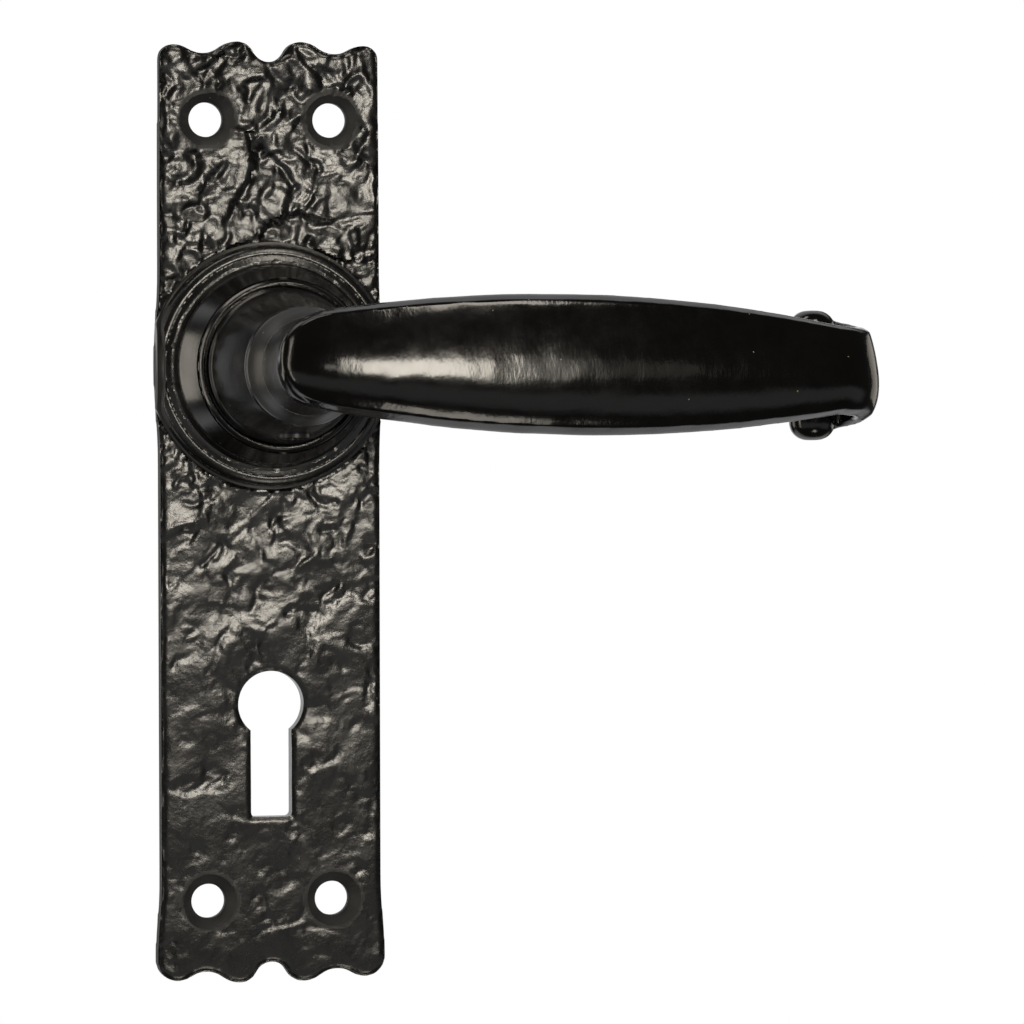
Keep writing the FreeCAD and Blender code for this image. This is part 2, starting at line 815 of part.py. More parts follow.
def return_spring():
    curves = spring_path()
    print("spring: least gap to itself", round(least_gap(curves), 3), "mm")
    path = Part.Wire([curve.toShape() for curve in curves])
    start = curves[0].StartPoint
    corner = wire_diameter / 2
    corners = []
    for i in range(wire_sides + 1):
        angle = 2 * math.pi * i / wire_sides
        corners.append(start + Vector(corner * math.cos(angle), 0, corner * math.sin(angle)))
    spring = path.makePipeShell([Part.makePolygon(corners)], True, False)
    expected = wire_sides / 2 * math.sin(2 * math.pi / wire_sides) * corner ** 2 * path.Length
    print("spring: volume over section times length", round(spring.Volume / expected, 4))
    return spring


pieces = {
    "backplate": backplate,
    "lever": lever,
    "front_washer": front_washer,
    "bearing_bush": bearing_bush,
    "thrust_washer": thrust_washer,
    "drive_plate": drive_plate,
    "circlip": circlip,
    "return_spring": return_spring,
    "grub_screw": grub_screw,
}

os.makedirs("parts", exist_ok=True)
for name, make in pieces.items():
    shape = make()
    box = shape.BoundBox
    print(name, "solids", len(shape.Solids), "valid", shape.isValid(), "volume", round(shape.Volume, 1),
          "x", round(box.XMin, 2), round(box.XMax, 2), "y", round(box.YMin, 2), round(box.YMax, 2),
          "z", round(box.ZMin, 2), round(box.ZMax, 2))
    shape.exportStep("parts/" + name + ".step")
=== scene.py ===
import math

import bmesh
import bpy
from bpy.props import FloatProperty, FloatVectorProperty, IntProperty, PointerProperty, StringProperty
from mathutils import Matrix, Vector, noise


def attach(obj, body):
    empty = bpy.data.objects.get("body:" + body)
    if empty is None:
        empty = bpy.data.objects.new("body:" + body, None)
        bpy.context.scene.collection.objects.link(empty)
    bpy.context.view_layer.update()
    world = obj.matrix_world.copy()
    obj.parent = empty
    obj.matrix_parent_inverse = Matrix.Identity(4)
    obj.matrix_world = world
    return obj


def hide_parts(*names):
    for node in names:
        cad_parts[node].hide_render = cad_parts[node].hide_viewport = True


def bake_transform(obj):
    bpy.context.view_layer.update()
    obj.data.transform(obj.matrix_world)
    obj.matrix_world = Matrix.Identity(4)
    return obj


bl_info = {
    "name": "Cast lever handle",
    "version": (1, 0, 0),
    "blender": (4, 5, 0),
    "location": "View3D > Sidebar > Lever handle",
    "description": "Dresses the packed lever handle in black coated cast iron and lights it",
    "category": "Object",
}

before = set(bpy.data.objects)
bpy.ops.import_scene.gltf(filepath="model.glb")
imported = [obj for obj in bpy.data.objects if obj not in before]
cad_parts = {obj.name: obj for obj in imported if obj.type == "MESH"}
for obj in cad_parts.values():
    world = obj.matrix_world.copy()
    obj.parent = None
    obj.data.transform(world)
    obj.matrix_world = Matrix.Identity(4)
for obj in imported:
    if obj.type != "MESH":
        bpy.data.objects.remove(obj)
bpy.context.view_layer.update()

mm = 0.001

# The plate's sizes in mm, as the CAD model has them
PLATE_THICKNESS = 3.5
SCREW_X = 10.6
SCREW_ROWS = (41.3, -90.1)
SCREW_HOLE_RADIUS = 2.9
COUNTERSINK_RADIUS = 5.1
KEY_Z = -57.0
KEY_EYE_RADIUS = 5.6
KEY_SLOT_HALF = 3.5
KEY_SLOT_LENGTH = 19.0
KEY_SLOT_CORNER = 0.8

# Beyond these places, in mm, the plate's steep faces are its as-cast sides
SIDES_FROM = 17.5
HEAD_FROM = 46.5
FOOT_FROM = -96.0

# Layers of hammered facets: size in mm, lean at the plate's foot, how much more at its head, offset of the
# seed and share of the creases
FACET_LAYERS = (
    (5.2, 0.055, 0.2, 0, 1.0),
    (2.5, 0.028, 0.21, 5, 0.6),
    (1.3, 0.02, 0.12, 9, 0.0),
)
RELIEF_LEVEL = -0.5
RELIEF_DEEPEST = -1.3
KEY_LIP_DEPTH = 0.35

# The boss's and the lever's turned outlines, as radius and height out from the door in mm
MOUND_RADIUS = 20.8
MOUND_END = (16.65, 8.4)
MOUND_BULGE = -1.05
MOUND_TRIM = 19.42
CONE_BULGE = -0.08
LIP_RADIUS = 14.35
LIP_INNER = 13.7
LIP_BEVEL = 0.5
BOSS_HEIGHT = 15.0
BOSS_INSIDE = ((LIP_INNER, 13.4), (14.3, 12.6), (15.0, 9.0), (15.4, 1.4))
CORE_BACK = 0.3
COLLAR_FOOT = 14.2
SHANK_RADIUS = 7.5
COLLAR_RADIUS = 12.95
COLLAR_CHAMFER = 0.35
BELL_FOOT = 16.4
BELL_TOP = 31.8
BELL_TOP_RADIUS = 9.8
BELL_BULGE = 0.2
BEAD_LENGTH = 1.2
BEAD_RADIUS = 10.0
NECK_FOOT = BELL_TOP + BEAD_LENGTH
NECK_RADIUS = 6.5
NECK_TAPER = 0.07
NECK_HOLLOW = 3.6
FLARE_START = 36.6
FLARE_LENGTH = 15.0
FLARE_WIDTH = 7.9
FLARE_POWER = 2.5
SOCKET_HALF = 4.1
SOCKET_DEPTH = 28.0
FLAT_HALF = 6.4
FLAT_END = 3.5
CLIP_GROOVE_BACK = 0.5
CLIP_GROOVE_FRONT = 1.5
CLIP_GROOVE_RADIUS = 6.7
GRUB_HEIGHT = 23.0
GRUB_HOLE_RADIUS = 2.53
GRUB_HOLE_LENGTH = 16.0

# The grip, in mm and degrees
GRIP_HEIGHT = 46.0
BOW_RADIUS = 355.0
BOW_SLOPE = 5.0
BOW_STEPS = 34
GRIP_THICKNESS = 7.4
GRIP_WIDTH = 23.2
GRIP_WIDEST = 42.0
GRIP_WIDTH_AT_SPINDLE = 16.2
NOSE_ROOT = 2.0
NOSE_LENGTH = 8.6
NOSE_POWER = 2.5
NOSE_THINNEST = 0.45
NOSE_SHARES = (0.998, 0.985, 0.955, 0.91, 0.85, 0.77, 0.68, 0.57, 0.45, 0.33, 0.22, 0.11)
NOSE_DOME = 15.0
NOSE_DROP = 1.5
NOSE_DROP_POWER = 2.5
GRIP_RISE = 1.1
GRIP_DROOP = 1.25
CURL_START = 87.8
CURL_START_THICKNESS = 6.1
CURL_RADIUS = 7.0
CURL_TURN = 175.0
CURL_STEPS = 28
CURL_DROOP = 0.95
CURL_DROOP_SHARE = 0.5
CURL_FLARE_FROM = 0.2
CURL_FLARE_POWER = 1.2
CURL_END_THICKNESS = 3.6
CURL_END_WIDTH = 20.0
EYE_RADIUS = 4.0
EYE_LENGTH = 21.9
EYE_ROUND = 3.1

# The grip's section as shares of its half width and half thickness: where the arrises at the top and the
# bottom edge lie, the drafted side and the back
ARRIS_TOP = 0.905
ARRIS_BOTTOM = 0.872
SECTION_SIDE = ((0.95, 0.12), (0.985, -0.08), (1.0, -0.28), (0.99, -0.5), (0.95, -0.72), (0.86, -0.88))
SECTION_BACK = ((0.7, -0.94), (0.45, -0.975), (0.2, -0.995), (0.0, -1.0))

# The return spring, in mm and degrees
WIRE_RADIUS = 0.75
COIL_RADIUS = 11.0
COIL_TURNS = 2.25
COIL_STEPS = 160
COIL_BEND = 1.6
COIL_BEND_STEPS = 10
COIL_START_ANGLE = 20.0
COIL_FRONT = 9.4
COIL_BACK = 5.1
LEG_TIP = 12.5
DRIVE_BACK = 1.55

# How far cutters and plugs reach past what they cut, in mm
BEYOND = 2.0

# The float attribute that makes the coating duller, from 0 to 1
DULL = "side"
RING_DULLNESS = 0.5
NECK_DULLNESS = 0.55

# The camera as fitted to the photograph's outlines, and the place in mm that the lamps face
CAMERA_AIM = Vector((42.466, 0.0, -25.07)) * mm
CAMERA_AZIMUTH = -13.572
CAMERA_ELEVATION = 1.663
CAMERA_ROLL = -0.126
CAMERA_FOCAL_SHARE = 5867.1 / 1024
CAMERA_SENSOR = 36.0
LAMP_AIM = Vector((20 * mm, -20 * mm, -10 * mm))

# Softboxes: name, azimuth and elevation in degrees, distance, width and height in metres, radiance
LAMPS = (
    ("key softbox", 4.3, 8.2, 0.5, 0.144, 0.12, 21),
    ("key's soft edge", 15.2, 8.0, 0.8, 0.098, 0.16, 2.0),
    ("side strip", 23.5, 8.0, 0.8, 0.14, 0.11, 0.45),
    ("small light", -10, 6.5, 0.8, 0.05, 0.07, 5),
    ("overhead softbox", 15, 47, 0.7, 0.16, 0.24, 10),
    ("low softbox", 12, -55, 0.7, 0.17, 0.2, 5),
    ("left strip", -79, 0, 0.7, 0.1, 0.8, 4.5),
    ("upper left softbox", -78, 66, 0.7, 0.14, 0.4, 5),
    ("left strip behind", -125, 0, 0.7, 0.18, 0.5, 2.2),
    ("right panel behind", 115, 0, 0.7, 0.35, 0.35, 1.2),
)

# What glossy surfaces see of the room, as place and level pairs: along Y the white wall behind the handle,
# and from straight down to straight up the glow of the white table
WALL_LEVELS = ((0, 0.02), (0.86, 0.03), (0.91, 0.9), (0.95, 1.0), (1, 1))
TABLE_LEVELS = ((0, 0.02), (0.18, 0.02), (0.26, 0.4), (0.38, 0.4), (0.44, 0.02), (1, 0.02))
BACKDROP_LEVEL = 0.9
FILL_LEVEL = 0.05


def linear(hex_colour):
    """An sRGB hex colour as linear red, green, blue and alpha."""
    channels = []
    for i in (0, 2, 4):
        value = int(hex_colour.lstrip("#")[i:i + 2], 16) / 255
        channels.append(value / 12.92 if value <= 0.04045 else ((value + 0.055) / 1.055) ** 2.4)
    return (*channels, 1.0)


def point(x, height, z):
    """A place in mm, given by its distance out from the door, as metres in the scene."""
    return Vector((x * mm, -height * mm, z * mm))


def in_mm(vert):
    """A vertex's x, height out from the door and z in mm."""
    return vert.co.x / mm, -vert.co.y / mm, vert.co.z / mm


def ease(low, high, value):
    """0 below low, 1 above high and a smooth step between them."""
    share = min(max((value - low) / (high - low), 0.0), 1.0)
    return share * share * (3 - 2 * share)


def settings():
    """What the user has set in the panel."""
    return bpy.context.scene.lever_handle


# Meshes

def to_object(bm, name):
    """Puts the bmesh into a new object and frees it."""
    mesh = bpy.data.meshes.new(name)
    bm.to_mesh(mesh)
    bm.free()
    obj = bpy.data.objects.new(name, mesh)
    bpy.context.scene.collection.objects.link(obj)
    return obj


def discard(obj):
    """Removes the object and its mesh."""
    mesh = obj.data
    bpy.data.objects.remove(obj)
    bpy.data.meshes.remove(mesh)


def with_modifier(bm, kind, **values):
    """The bmesh that a modifier makes of this one."""
    obj = to_object(bm, "workpiece")
    modifier = obj.modifiers.new(kind.title(), kind)
    for key, value in values.items():
        setattr(modifier, key, value)
    evaluated = obj.evaluated_get(bpy.context.evaluated_depsgraph_get())
    result = bmesh.new()
    result.from_mesh(evaluated.to_mesh())
    evaluated.to_mesh_clear()
    discard(obj)
    return result


def joined(target, *others):
    """Adds the other bmeshes to the first."""
    for other in others:
        mesh = bpy.data.meshes.new("part")
        other.to_mesh(mesh)
        other.free()
        target.from_mesh(mesh)
        bpy.data.meshes.remove(mesh)
    return target


def cut(bm, *cutters):
    """The bmesh less each closed cutter in turn."""
    for cutter in cutters:
        tool = to_object(cutter, "cutter")
        bm = with_modifier(bm, "BOOLEAN", operation="DIFFERENCE", solver="MANIFOLD", object=tool)
        discard(tool)
    return bm


def remeshed(bm, cell):
    """The closed shells as one mesh of cells of a size in mm."""
    return with_modifier(bm, "REMESH", mode="VOXEL", voxel_size=cell * mm)


def smooth(bm, verts, times):
    """Moves each vertex halfway to the middle of its neighbours, some times over."""
    for _ in range(times):
        bmesh.ops.smooth_vert(bm, verts=verts, factor=0.5, use_axis_x=True, use_axis_y=True, use_axis_z=True)


def closed_outwards(bm):
    """Merges the seam and turns the normals outwards."""
    bmesh.ops.remove_doubles(bm, verts=bm.verts, dist=1e-7)
    bmesh.ops.recalc_face_normals(bm, faces=bm.faces)
    return bm


def merged_copy(node):
    """A copy of a CAD node's mesh whose loose triangles are merged."""
    bm = bmesh.new()
    bm.from_mesh(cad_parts[node].data)
    bmesh.ops.remove_doubles(bm, verts=bm.verts, dist=1e-6)
    return bm


def spun(points, steps, closed=False):
    """Turns a line of radius and height pairs about the spindle."""
    bm = bmesh.new()
    verts = [bm.verts.new(point(radius, height, 0)) for radius, height in points]
    following = verts[1:] + verts[:1] if closed else verts[1:]
    edges = [bm.edges.new(pair) for pair in zip(verts, following)]
    bmesh.ops.spin(
        bm, geom=verts + edges, cent=(0, 0, 0), axis=(0, 1, 0), dvec=(0, 0, 0),
        angle=2 * math.pi, steps=steps, use_merge=True)
    return closed_outwards(bm)


def upright_bar(radius, length, segments):
    """A round bar along Z about the origin."""
    bm = bmesh.new()
    bmesh.ops.create_cone(
        bm, cap_ends=True, segments=segments, radius1=radius * mm, radius2=radius * mm, depth=length * mm)
    return bm


def round_bar(radius, low, high, segments=48):
    """A round bar about the spindle, from low to high out from the door."""
    bm = upright_bar(radius, high - low, segments)
    turn = Matrix.Translation(point(0, (low + high) / 2, 0)) @ Matrix.Rotation(math.pi / 2, 4, "X")
    bmesh.ops.transform(bm, matrix=turn, verts=bm.verts)
    return bm


def box_between(a, b):
    """A block between two opposite corners given as x, height and z in mm."""
    bm = bmesh.new()
    bmesh.ops.create_cube(bm, size=1)
    a, b = point(*a), point(*b)
    bmesh.ops.scale(bm, vec=[abs(b[i] - a[i]) for i in range(3)], verts=bm.verts)
    bmesh.ops.translate(bm, vec=(a + b) / 2, verts=bm.verts)
    return bm


def shifted(bm, x, height, z):
    """Moves the bmesh by x, height and z in mm."""
    bmesh.ops.translate(bm, vec=point(x, height, z), verts=bm.verts)
    return bm


def bevel_edges(bm, edges, offset, segments):
    """Rounds edges; the offset is in mm."""
    bmesh.ops.bevel(
        bm, geom=edges, offset=offset * mm, offset_type="OFFSET", affect="EDGES",
        segments=segments, profile=0.5, material=-1, clamp_overlap=True)


def bevel_sharp(bm, least_degrees, offset, segments):
    """Rounds the outer edges whose faces meet at more than an angle."""
    least = math.radians(least_degrees)
    sharp = [e for e in bm.edges if len(e.link_faces) == 2 and e.is_convex and e.calc_face_angle(0) > least]
    bevel_edges(bm, sharp, offset, segments)


def grow(bm, edges, move):
    """Extrudes a loop of edges once and moves what is new; gives the new loop."""
    grown = bmesh.ops.extrude_edge_only(bm, edges=edges)["geom"]
    verts = [g for g in grown if isinstance(g, bmesh.types.BMVert)]
    move(verts)
    return [g for g in grown if isinstance(g, bmesh.types.BMEdge) and all(v in verts for v in g.verts)]


def swing(bm, edges, pivot, axis, angle, steps, drift=(0, 0, 0)):
    """Spins a loop of edges about an axis; gives the last loop."""
    spun_on = bmesh.ops.spin(
        bm, geom=edges, cent=pivot, axis=axis, dvec=drift, angle=angle, steps=steps, use_merge=False)
    return [g for g in spun_on["geom_last"] if isinstance(g, bmesh.types.BMEdge)]


def swept(outline, places):
    """Carries a closed outline through places by extruding its edges, and closes both ends."""
    bm = bmesh.new()
    verts = [bm.verts.new(co) for co in outline]
    edges = [bm.edges.new(pair) for pair in zip(verts, verts[1:] + verts[:1])]
    bmesh.ops.transform(bm, matrix=places[0], verts=verts)
    bmesh.ops.contextual_create(bm, geom=edges)
    for before, after in zip(places, places[1:]):
        step = after @ before.inverted()
        edges = grow(bm, edges, lambda grown: bmesh.ops.transform(bm, matrix=step, verts=grown))
    bmesh.ops.contextual_create(bm, geom=edges)
    return closed_outwards(bm)


def arc_between(a, b, bulge, count):
    """Points after a up to b on an arc whose middle is moved outwards by bulge."""
    chord = math.hypot(b[0] - a[0], b[1] - a[1])
    radius = (chord * chord / 4 + bulge * bulge) / (2 * abs(bulge))
    half = math.asin(min(1.0, chord / (2 * radius)))
    side = 1 if bulge > 0 else -1
    middle = ((a[0] + b[0]) / 2, (a[1] + b[1]) / 2)
    along = ((b[0] - a[0]) / chord, (b[1] - a[1]) / chord)
    out = (along[1] * side, -along[0] * side)
    centre = (middle[0] - out[0] * (radius - abs(bulge)), middle[1] - out[1] * (radius - abs(bulge)))
    points = []
    for i in range(1, count + 1):
        angle = -half + 2 * half * i / count
        points.append((
            centre[0] + radius * (out[0] * math.cos(angle) + along[0] * math.sin(angle)),
            centre[1] + radius * (out[1] * math.cos(angle) + along[1] * math.sin(angle))))
    return points


def make_dull(bm, share_at):
    """Gives each vertex its share of dullness, from 0 to 1."""
    dull = bm.verts.layers.float.new(DULL)
    for vert in bm.verts:
        vert[dull] = share_at(vert)


def finish_piece(bm, name, body, finish, replaced, crease_degrees):
    """Makes the object, smooth but for its sharp edges, and gives it its body, slot and material."""
    crease = math.radians(crease_degrees)
    for face in bm.faces:
        face.smooth = True
    for edge in bm.edges:
        edge.smooth = len(edge.link_faces) != 2 or edge.calc_face_angle(0) < crease
    obj = to_object(bm, name)
    obj.data.materials.append(material_named(finish))
    if body:
        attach(obj, body)
    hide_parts(replaced)
    return obj


# Materials

def add_node(tree, kind, values=None, links=None, **options):
    """Adds a node with its options, its sockets' values and its links."""
    node = tree.nodes.new(kind)
    for key, value in options.items():
        setattr(node, key, value)
    for key, value in (values or {}).items():
        node.inputs[key].default_value = value
    for key, source in (links or {}).items():
        tree.links.new(source, node.inputs[key])
    return node


def new_material(name):
    """A material with its node tree emptied, and the object's own coordinates."""
    material = bpy.data.materials.new(name)
    material.use_nodes = True
    tree = material.node_tree
    tree.nodes.clear()
    place = add_node(tree, "ShaderNodeTexCoord").outputs["Object"]
    return material, tree, place


def close_material(tree, values, links):
    """Ends the tree with the shader and its output."""
    shader = add_node(tree, "ShaderNodeBsdfPrincipled", values, links)
    add_node(tree, "ShaderNodeOutputMaterial", links={"Surface": shader.outputs["BSDF"]})


def per_mm(size):
    """The texture scale at which one feature is this many mm."""
    return 1 / (size * mm)


def noise_of(tree, place, size, detail, roughness=0.5):
    """A noise from 0 to 1 whose features are a size in mm."""
    return add_node(
        tree, "ShaderNodeTexNoise", {"Scale": per_mm(size), "Detail": detail, "Roughness": roughness},
        {"Vector": place}).outputs["Fac"]


def ranged(tree, source, source_low, source_high, low, high):
    """The source from source_low to source_high as low to high."""
    return add_node(
        tree, "ShaderNodeMapRange",
        {"From Min": source_low, "From Max": source_high, "To Min": low, "To Max": high},
        {"Value": source}).outputs["Result"]


def combined(tree, operation, a, b):
    """Two sources through one math operation."""
    return add_node(tree, "ShaderNodeMath", links={0: a, 1: b}, operation=operation).outputs[0]


def coloured(tree, share, dark, light):
    """The colour from one hex colour to another at a share."""
    return add_node(
        tree, "ShaderNodeMix", {6: linear(dark), 7: linear(light)}, {0: share}, data_type="RGBA").outputs[2]


def bumped(tree, height, depth, strength=1.0, normal=None):
    """The normal over a relief whose depth is in mm."""
    links = {"Height": height, "Normal": normal} if normal else {"Height": height}
    return add_node(
        tree, "ShaderNodeBump", {"Strength": strength, "Distance": depth * mm}, links).outputs["Normal"]


def turning_marks(tree, place, neck_only):
    """Fine rings that a lathe leaves: a noise on radius and height, which hardly changes on the way round."""
    flat = add_node(tree, "ShaderNodeVectorMath", {1: (1, 0, 1)}, {0: place}, operation="MULTIPLY")
    radius = add_node(
        tree, "ShaderNodeVectorMath", links={0: flat.outputs[0]}, operation="LENGTH").outputs["Value"]
    along = add_node(tree, "ShaderNodeSeparateXYZ", links={0: place}).outputs["Y"]
    profile = add_node(tree, "ShaderNodeCombineXYZ", links={"X": radius, "Y": along})
    around = add_node(tree, "ShaderNodeVectorMath", {1: (0.03, 0.03, 0.03)}, {0: place}, operation="MULTIPLY")
    spot = add_node(tree, "ShaderNodeVectorMath", links={0: profile.outputs[0], 1: around.outputs[0]})
    marks = noise_of(tree, spot.outputs[0], 0.4, 3.0, 0.6)
    if neck_only:
        narrow = ranged(tree, radius, 11 * mm, 12.6 * mm, 1.0, 0.0)
        low = ranged(tree, along, -44 * mm, -42 * mm, 0.0, 1.0)
        marks = combined(tree, "MULTIPLY", marks, combined(tree, "MULTIPLY", narrow, low))
    return marks


def coated_iron(
        name, crinkle_depth, crinkle_size, roughness, ior, stretch=(1, 1, 1), turned=0.0, neck_only=False):
    """Cast iron under a stoved black gloss: deep black whose warm highlights the casting's grain breaks up."""
    material, tree, place = new_material(name)
    look = settings()
    drawn = add_node(tree, "ShaderNodeMapping", {"Scale": stretch}, {"Vector": place}).outputs["Vector"]
    blotch = noise_of(tree, place, 4.0, 5.0, 0.65)
    grain = noise_of(tree, drawn, crinkle_size, 2.5, 0.6)
    rough = ranged(tree, blotch, 0.35, 0.65, roughness - 0.025, roughness + 0.03)
    dull = add_node(tree, "ShaderNodeAttribute", attribute_name=DULL).outputs["Fac"]
    rougher = add_node(
        tree, "ShaderNodeMath", {1: 0.35}, {0: dull, 2: rough}, operation="MULTIPLY_ADD").outputs[0]
    colour = coloured(tree, blotch, look.coating_dark, look.coating_light)
    dust = add_node(tree, "ShaderNodeTexVoronoi", {"Scale": per_mm(3.4)}, {"Vector": place}, feature="F1")
    speck = ranged(tree, dust.outputs["Distance"], 0.02, 0.045, 1.0, 0.0)
    dusty = add_node(
        tree, "ShaderNodeMix", {7: linear("#8a8072")}, {0: speck, 6: colour}, data_type="RGBA").outputs[2]
    normal = bumped(tree, grain, crinkle_depth)
    if turned:
        normal = bumped(tree, turning_marks(tree, place, neck_only), turned, normal=normal)
    close_material(
        tree, {"Metallic": 0.0, "IOR": ior}, {"Base Color": dusty, "Roughness": rougher, "Normal": normal})
    return material


def hammered_iron(name):
    """The coating on the plate's hammered skin: satin, with a coarse crinkle."""
    look = settings()
    return coated_iron(name, 0.045, 0.8, look.plate_roughness, look.plate_ior)


def fettled_iron(name):
    """The coating on the hand-dressed grip: glossy, with the file's faint drag and a turned neck."""
    look = settings()
    return coated_iron(
        name, 0.02, 0.6, look.lever_roughness, look.lever_ior, stretch=(1, 1, 0.4), turned=0.02, neck_only=True)


def turned_iron(name):
    """The coating on the turned boss and bell: glossy, over the lathe's fine rings."""
    look = settings()
    return coated_iron(name, 0.008, 0.6, look.lever_roughness + 0.05, look.plate_ior, turned=0.014)


def moulded_nylon(name):
    """Black moulded nylon: satin, with the faint mottle of the mould."""
    material, tree, place = new_material(name)
    mottle = noise_of(tree, place, 0.6, 3.0)
    colour = coloured(tree, mottle, "#141415", "#1d1d1e")
    normal = bumped(tree, mottle, 0.01, 0.6)
    close_material(tree, {"Roughness": 0.42, "IOR": 1.53}, {"Base Color": colour, "Normal": normal})
    return material


def zinc_plate(name):
    """Pressed steel, bright zinc plated: blue-grey metal with the spangle and drag marks of the press."""
    material, tree, place = new_material(name)
    cloud = noise_of(tree, place, 2.2, 5.0, 0.65)
    drawn = add_node(tree, "ShaderNodeMapping", {"Scale": (1.0, 1.0, 12.0)}, {"Vector": place})
    drag = noise_of(tree, drawn.outputs["Vector"], 1.5, 4.0)
    colour = coloured(tree, cloud, "#9fa3a8", "#c6c9cc")
    rough = ranged(tree, cloud, 0.3, 0.7, 0.26, 0.42)
    normal = bumped(tree, drag, 0.006, 0.4)
    close_material(tree, {"Metallic": 1.0}, {"Base Color": colour, "Roughness": rough, "Normal": normal})
    return material


def spring_wire(name):
    """Oil-tempered spring steel: brown-grey metal, drawn smooth, with a film that dulls it in patches."""
    material, tree, place = new_material(name)
    film = noise_of(tree, place, 1.8, 4.0, 0.6)
    colour = coloured(tree, film, "#3a3835", "#6b6761")
    rough = ranged(tree, film, 0.3, 0.7, 0.24, 0.45)
    normal = bumped(tree, film, 0.005, 0.3)
    close_material(tree, {"Metallic": 1.0}, {"Base Color": colour, "Roughness": rough, "Normal": normal})
    return material


def black_oxide(name):
    """Black oxide on a turned steel screw: nearly black metal with a soft oily sheen."""
    material, tree, place = new_material(name)
    film = noise_of(tree, place, 0.8, 4.0)
    colour = coloured(tree, film, "#1b1b1d", "#34353a")
    normal = bumped(tree, film, 0.01, 0.5)
    close_material(tree, {"Metallic": 1.0, "Roughness": 0.36}, {"Base Color": colour, "Normal": normal})
    return material


FINISHES = {
    "black_stoved_iron_hammered": hammered_iron,
    "black_stoved_iron_fettled": fettled_iron,
    "black_stoved_iron_turned": turned_iron,
    "moulded_black_nylon": moulded_nylon,
    "bright_zinc_plated_steel": zinc_plate,
    "oil_tempered_spring_steel": spring_wire,
    "black_oxide_steel": black_oxide,
}


def material_named(name):
    """The material of a finish, made on first use."""
    return bpy.data.materials.get(name) or FINISHES[name](name)


# The hammered plate

def facets(x, z, size, seed, lean, blend, crease):
    """Height in mm of facets that each lean their own way and meet over a short blend or in a crease."""
    spot = Vector((x / size, z / size, seed))
    near, centres = noise.voronoi(spot, distance_metric="DISTANCE", exponent=2.5)
    heights = []
    for centre in centres[:2]:
        tilt = noise.noise_vector(centre * 5.37 + Vector((0.5, 0.5, 0.5)))
        away = spot - centre
        heights.append(tilt.x * away.x + tilt.y * away.y + 0.3 * tilt.z)
    share = 0.5 + 0.5 * ease(0, blend, near[1] - near[0])
    valley = crease * (1 - ease(0, 0.3, near[1] - near[0]))
    return lean * size * (heights[0] * share + heights[1] * (1 - share)) - valley


def keyhole_distance(x, z):
    """How far a place of the plate lies outside the keyhole, in mm."""
    eye = math.hypot(x, z - KEY_Z) - KEY_EYE_RADIUS
    low = KEY_Z - KEY_SLOT_LENGTH
    slot = math.hypot(max(abs(x) - KEY_SLOT_HALF, 0), max(low - z, z - KEY_Z, 0))
    return max(min(eye, slot), 0)


def plate_relief(x, z):
    """Depth in mm of the hammered skin below the plate's front at x and z in mm, from 0 down."""
    look = settings()
    seed = look.relief_seed * 17.3
    spot = Vector((x, z, seed))
    warp = noise.noise_vector(spot / 7.0) * 2.4 + noise.noise_vector(spot / 2.6 + Vector((7, 3, 1))) * 0.8
    u, v = x + warp.x, z + warp.y
    slanted = ((u * 0.57 + v * 0.82) / 1.6, -u * 0.82 + v * 0.57)
    places = (slanted, (u, v), (x + warp.y * 0.3, z + warp.x * 0.3))
    upper = ease(-70, 20, z)
    blend = 0.55 - 0.3 * upper
    cracked = ease(-0.05, 0.35, noise.noise(spot / 4.0 + Vector((2, 8, 5)))) * (0.12 + 0.2 * upper)
    height = 0.3 * noise.noise(spot / 9.0 + Vector((3, 1, 4))) + RELIEF_LEVEL
    for (along, across), (size, lean, more, offset, creased) in zip(places, FACET_LAYERS):
        height += facets(along, across, size, seed + offset, lean + more * upper, blend, cracked * creased)
    lip = max(0, 1 - keyhole_distance(x, z))
    return look.relief_depth * max(min(height, 0.0), RELIEF_DEEPEST) - KEY_LIP_DEPTH * lip * lip


def relieve_plate(bm):
    """Hammers the front of the plate and sinks the cast skin under the turned ring."""
    shifts = []
    bm.normal_update()
    for vert in bm.verts:
        x, height, z = in_mm(vert)
        radius = math.hypot(x, z)
        facing = -vert.normal.y
        shift = Vector()
        if radius < MOUND_RADIUS + 0.4 and height > 2.0:
            sunk = 0.42 + 0.9 * ease(0.4, 1.8, MOUND_RADIUS - radius)
            shift -= vert.normal * (sunk * ease(2.0, 3.0, height) * mm)
            shift.y += 0.5 * ease(MOUND_RADIUS - 0.6, MOUND_RADIUS - 0.1, radius) * mm
        elif height > 1.6 and facing > 0.05:
            skin = ease(0.05, 0.75, facing) * ease(1.6, 3.0, height)
            shift.y -= plate_relief(x, z) * skin * mm
        shifts.append(shift)
    for vert, shift in zip(bm.verts, shifts):
        vert.co += shift


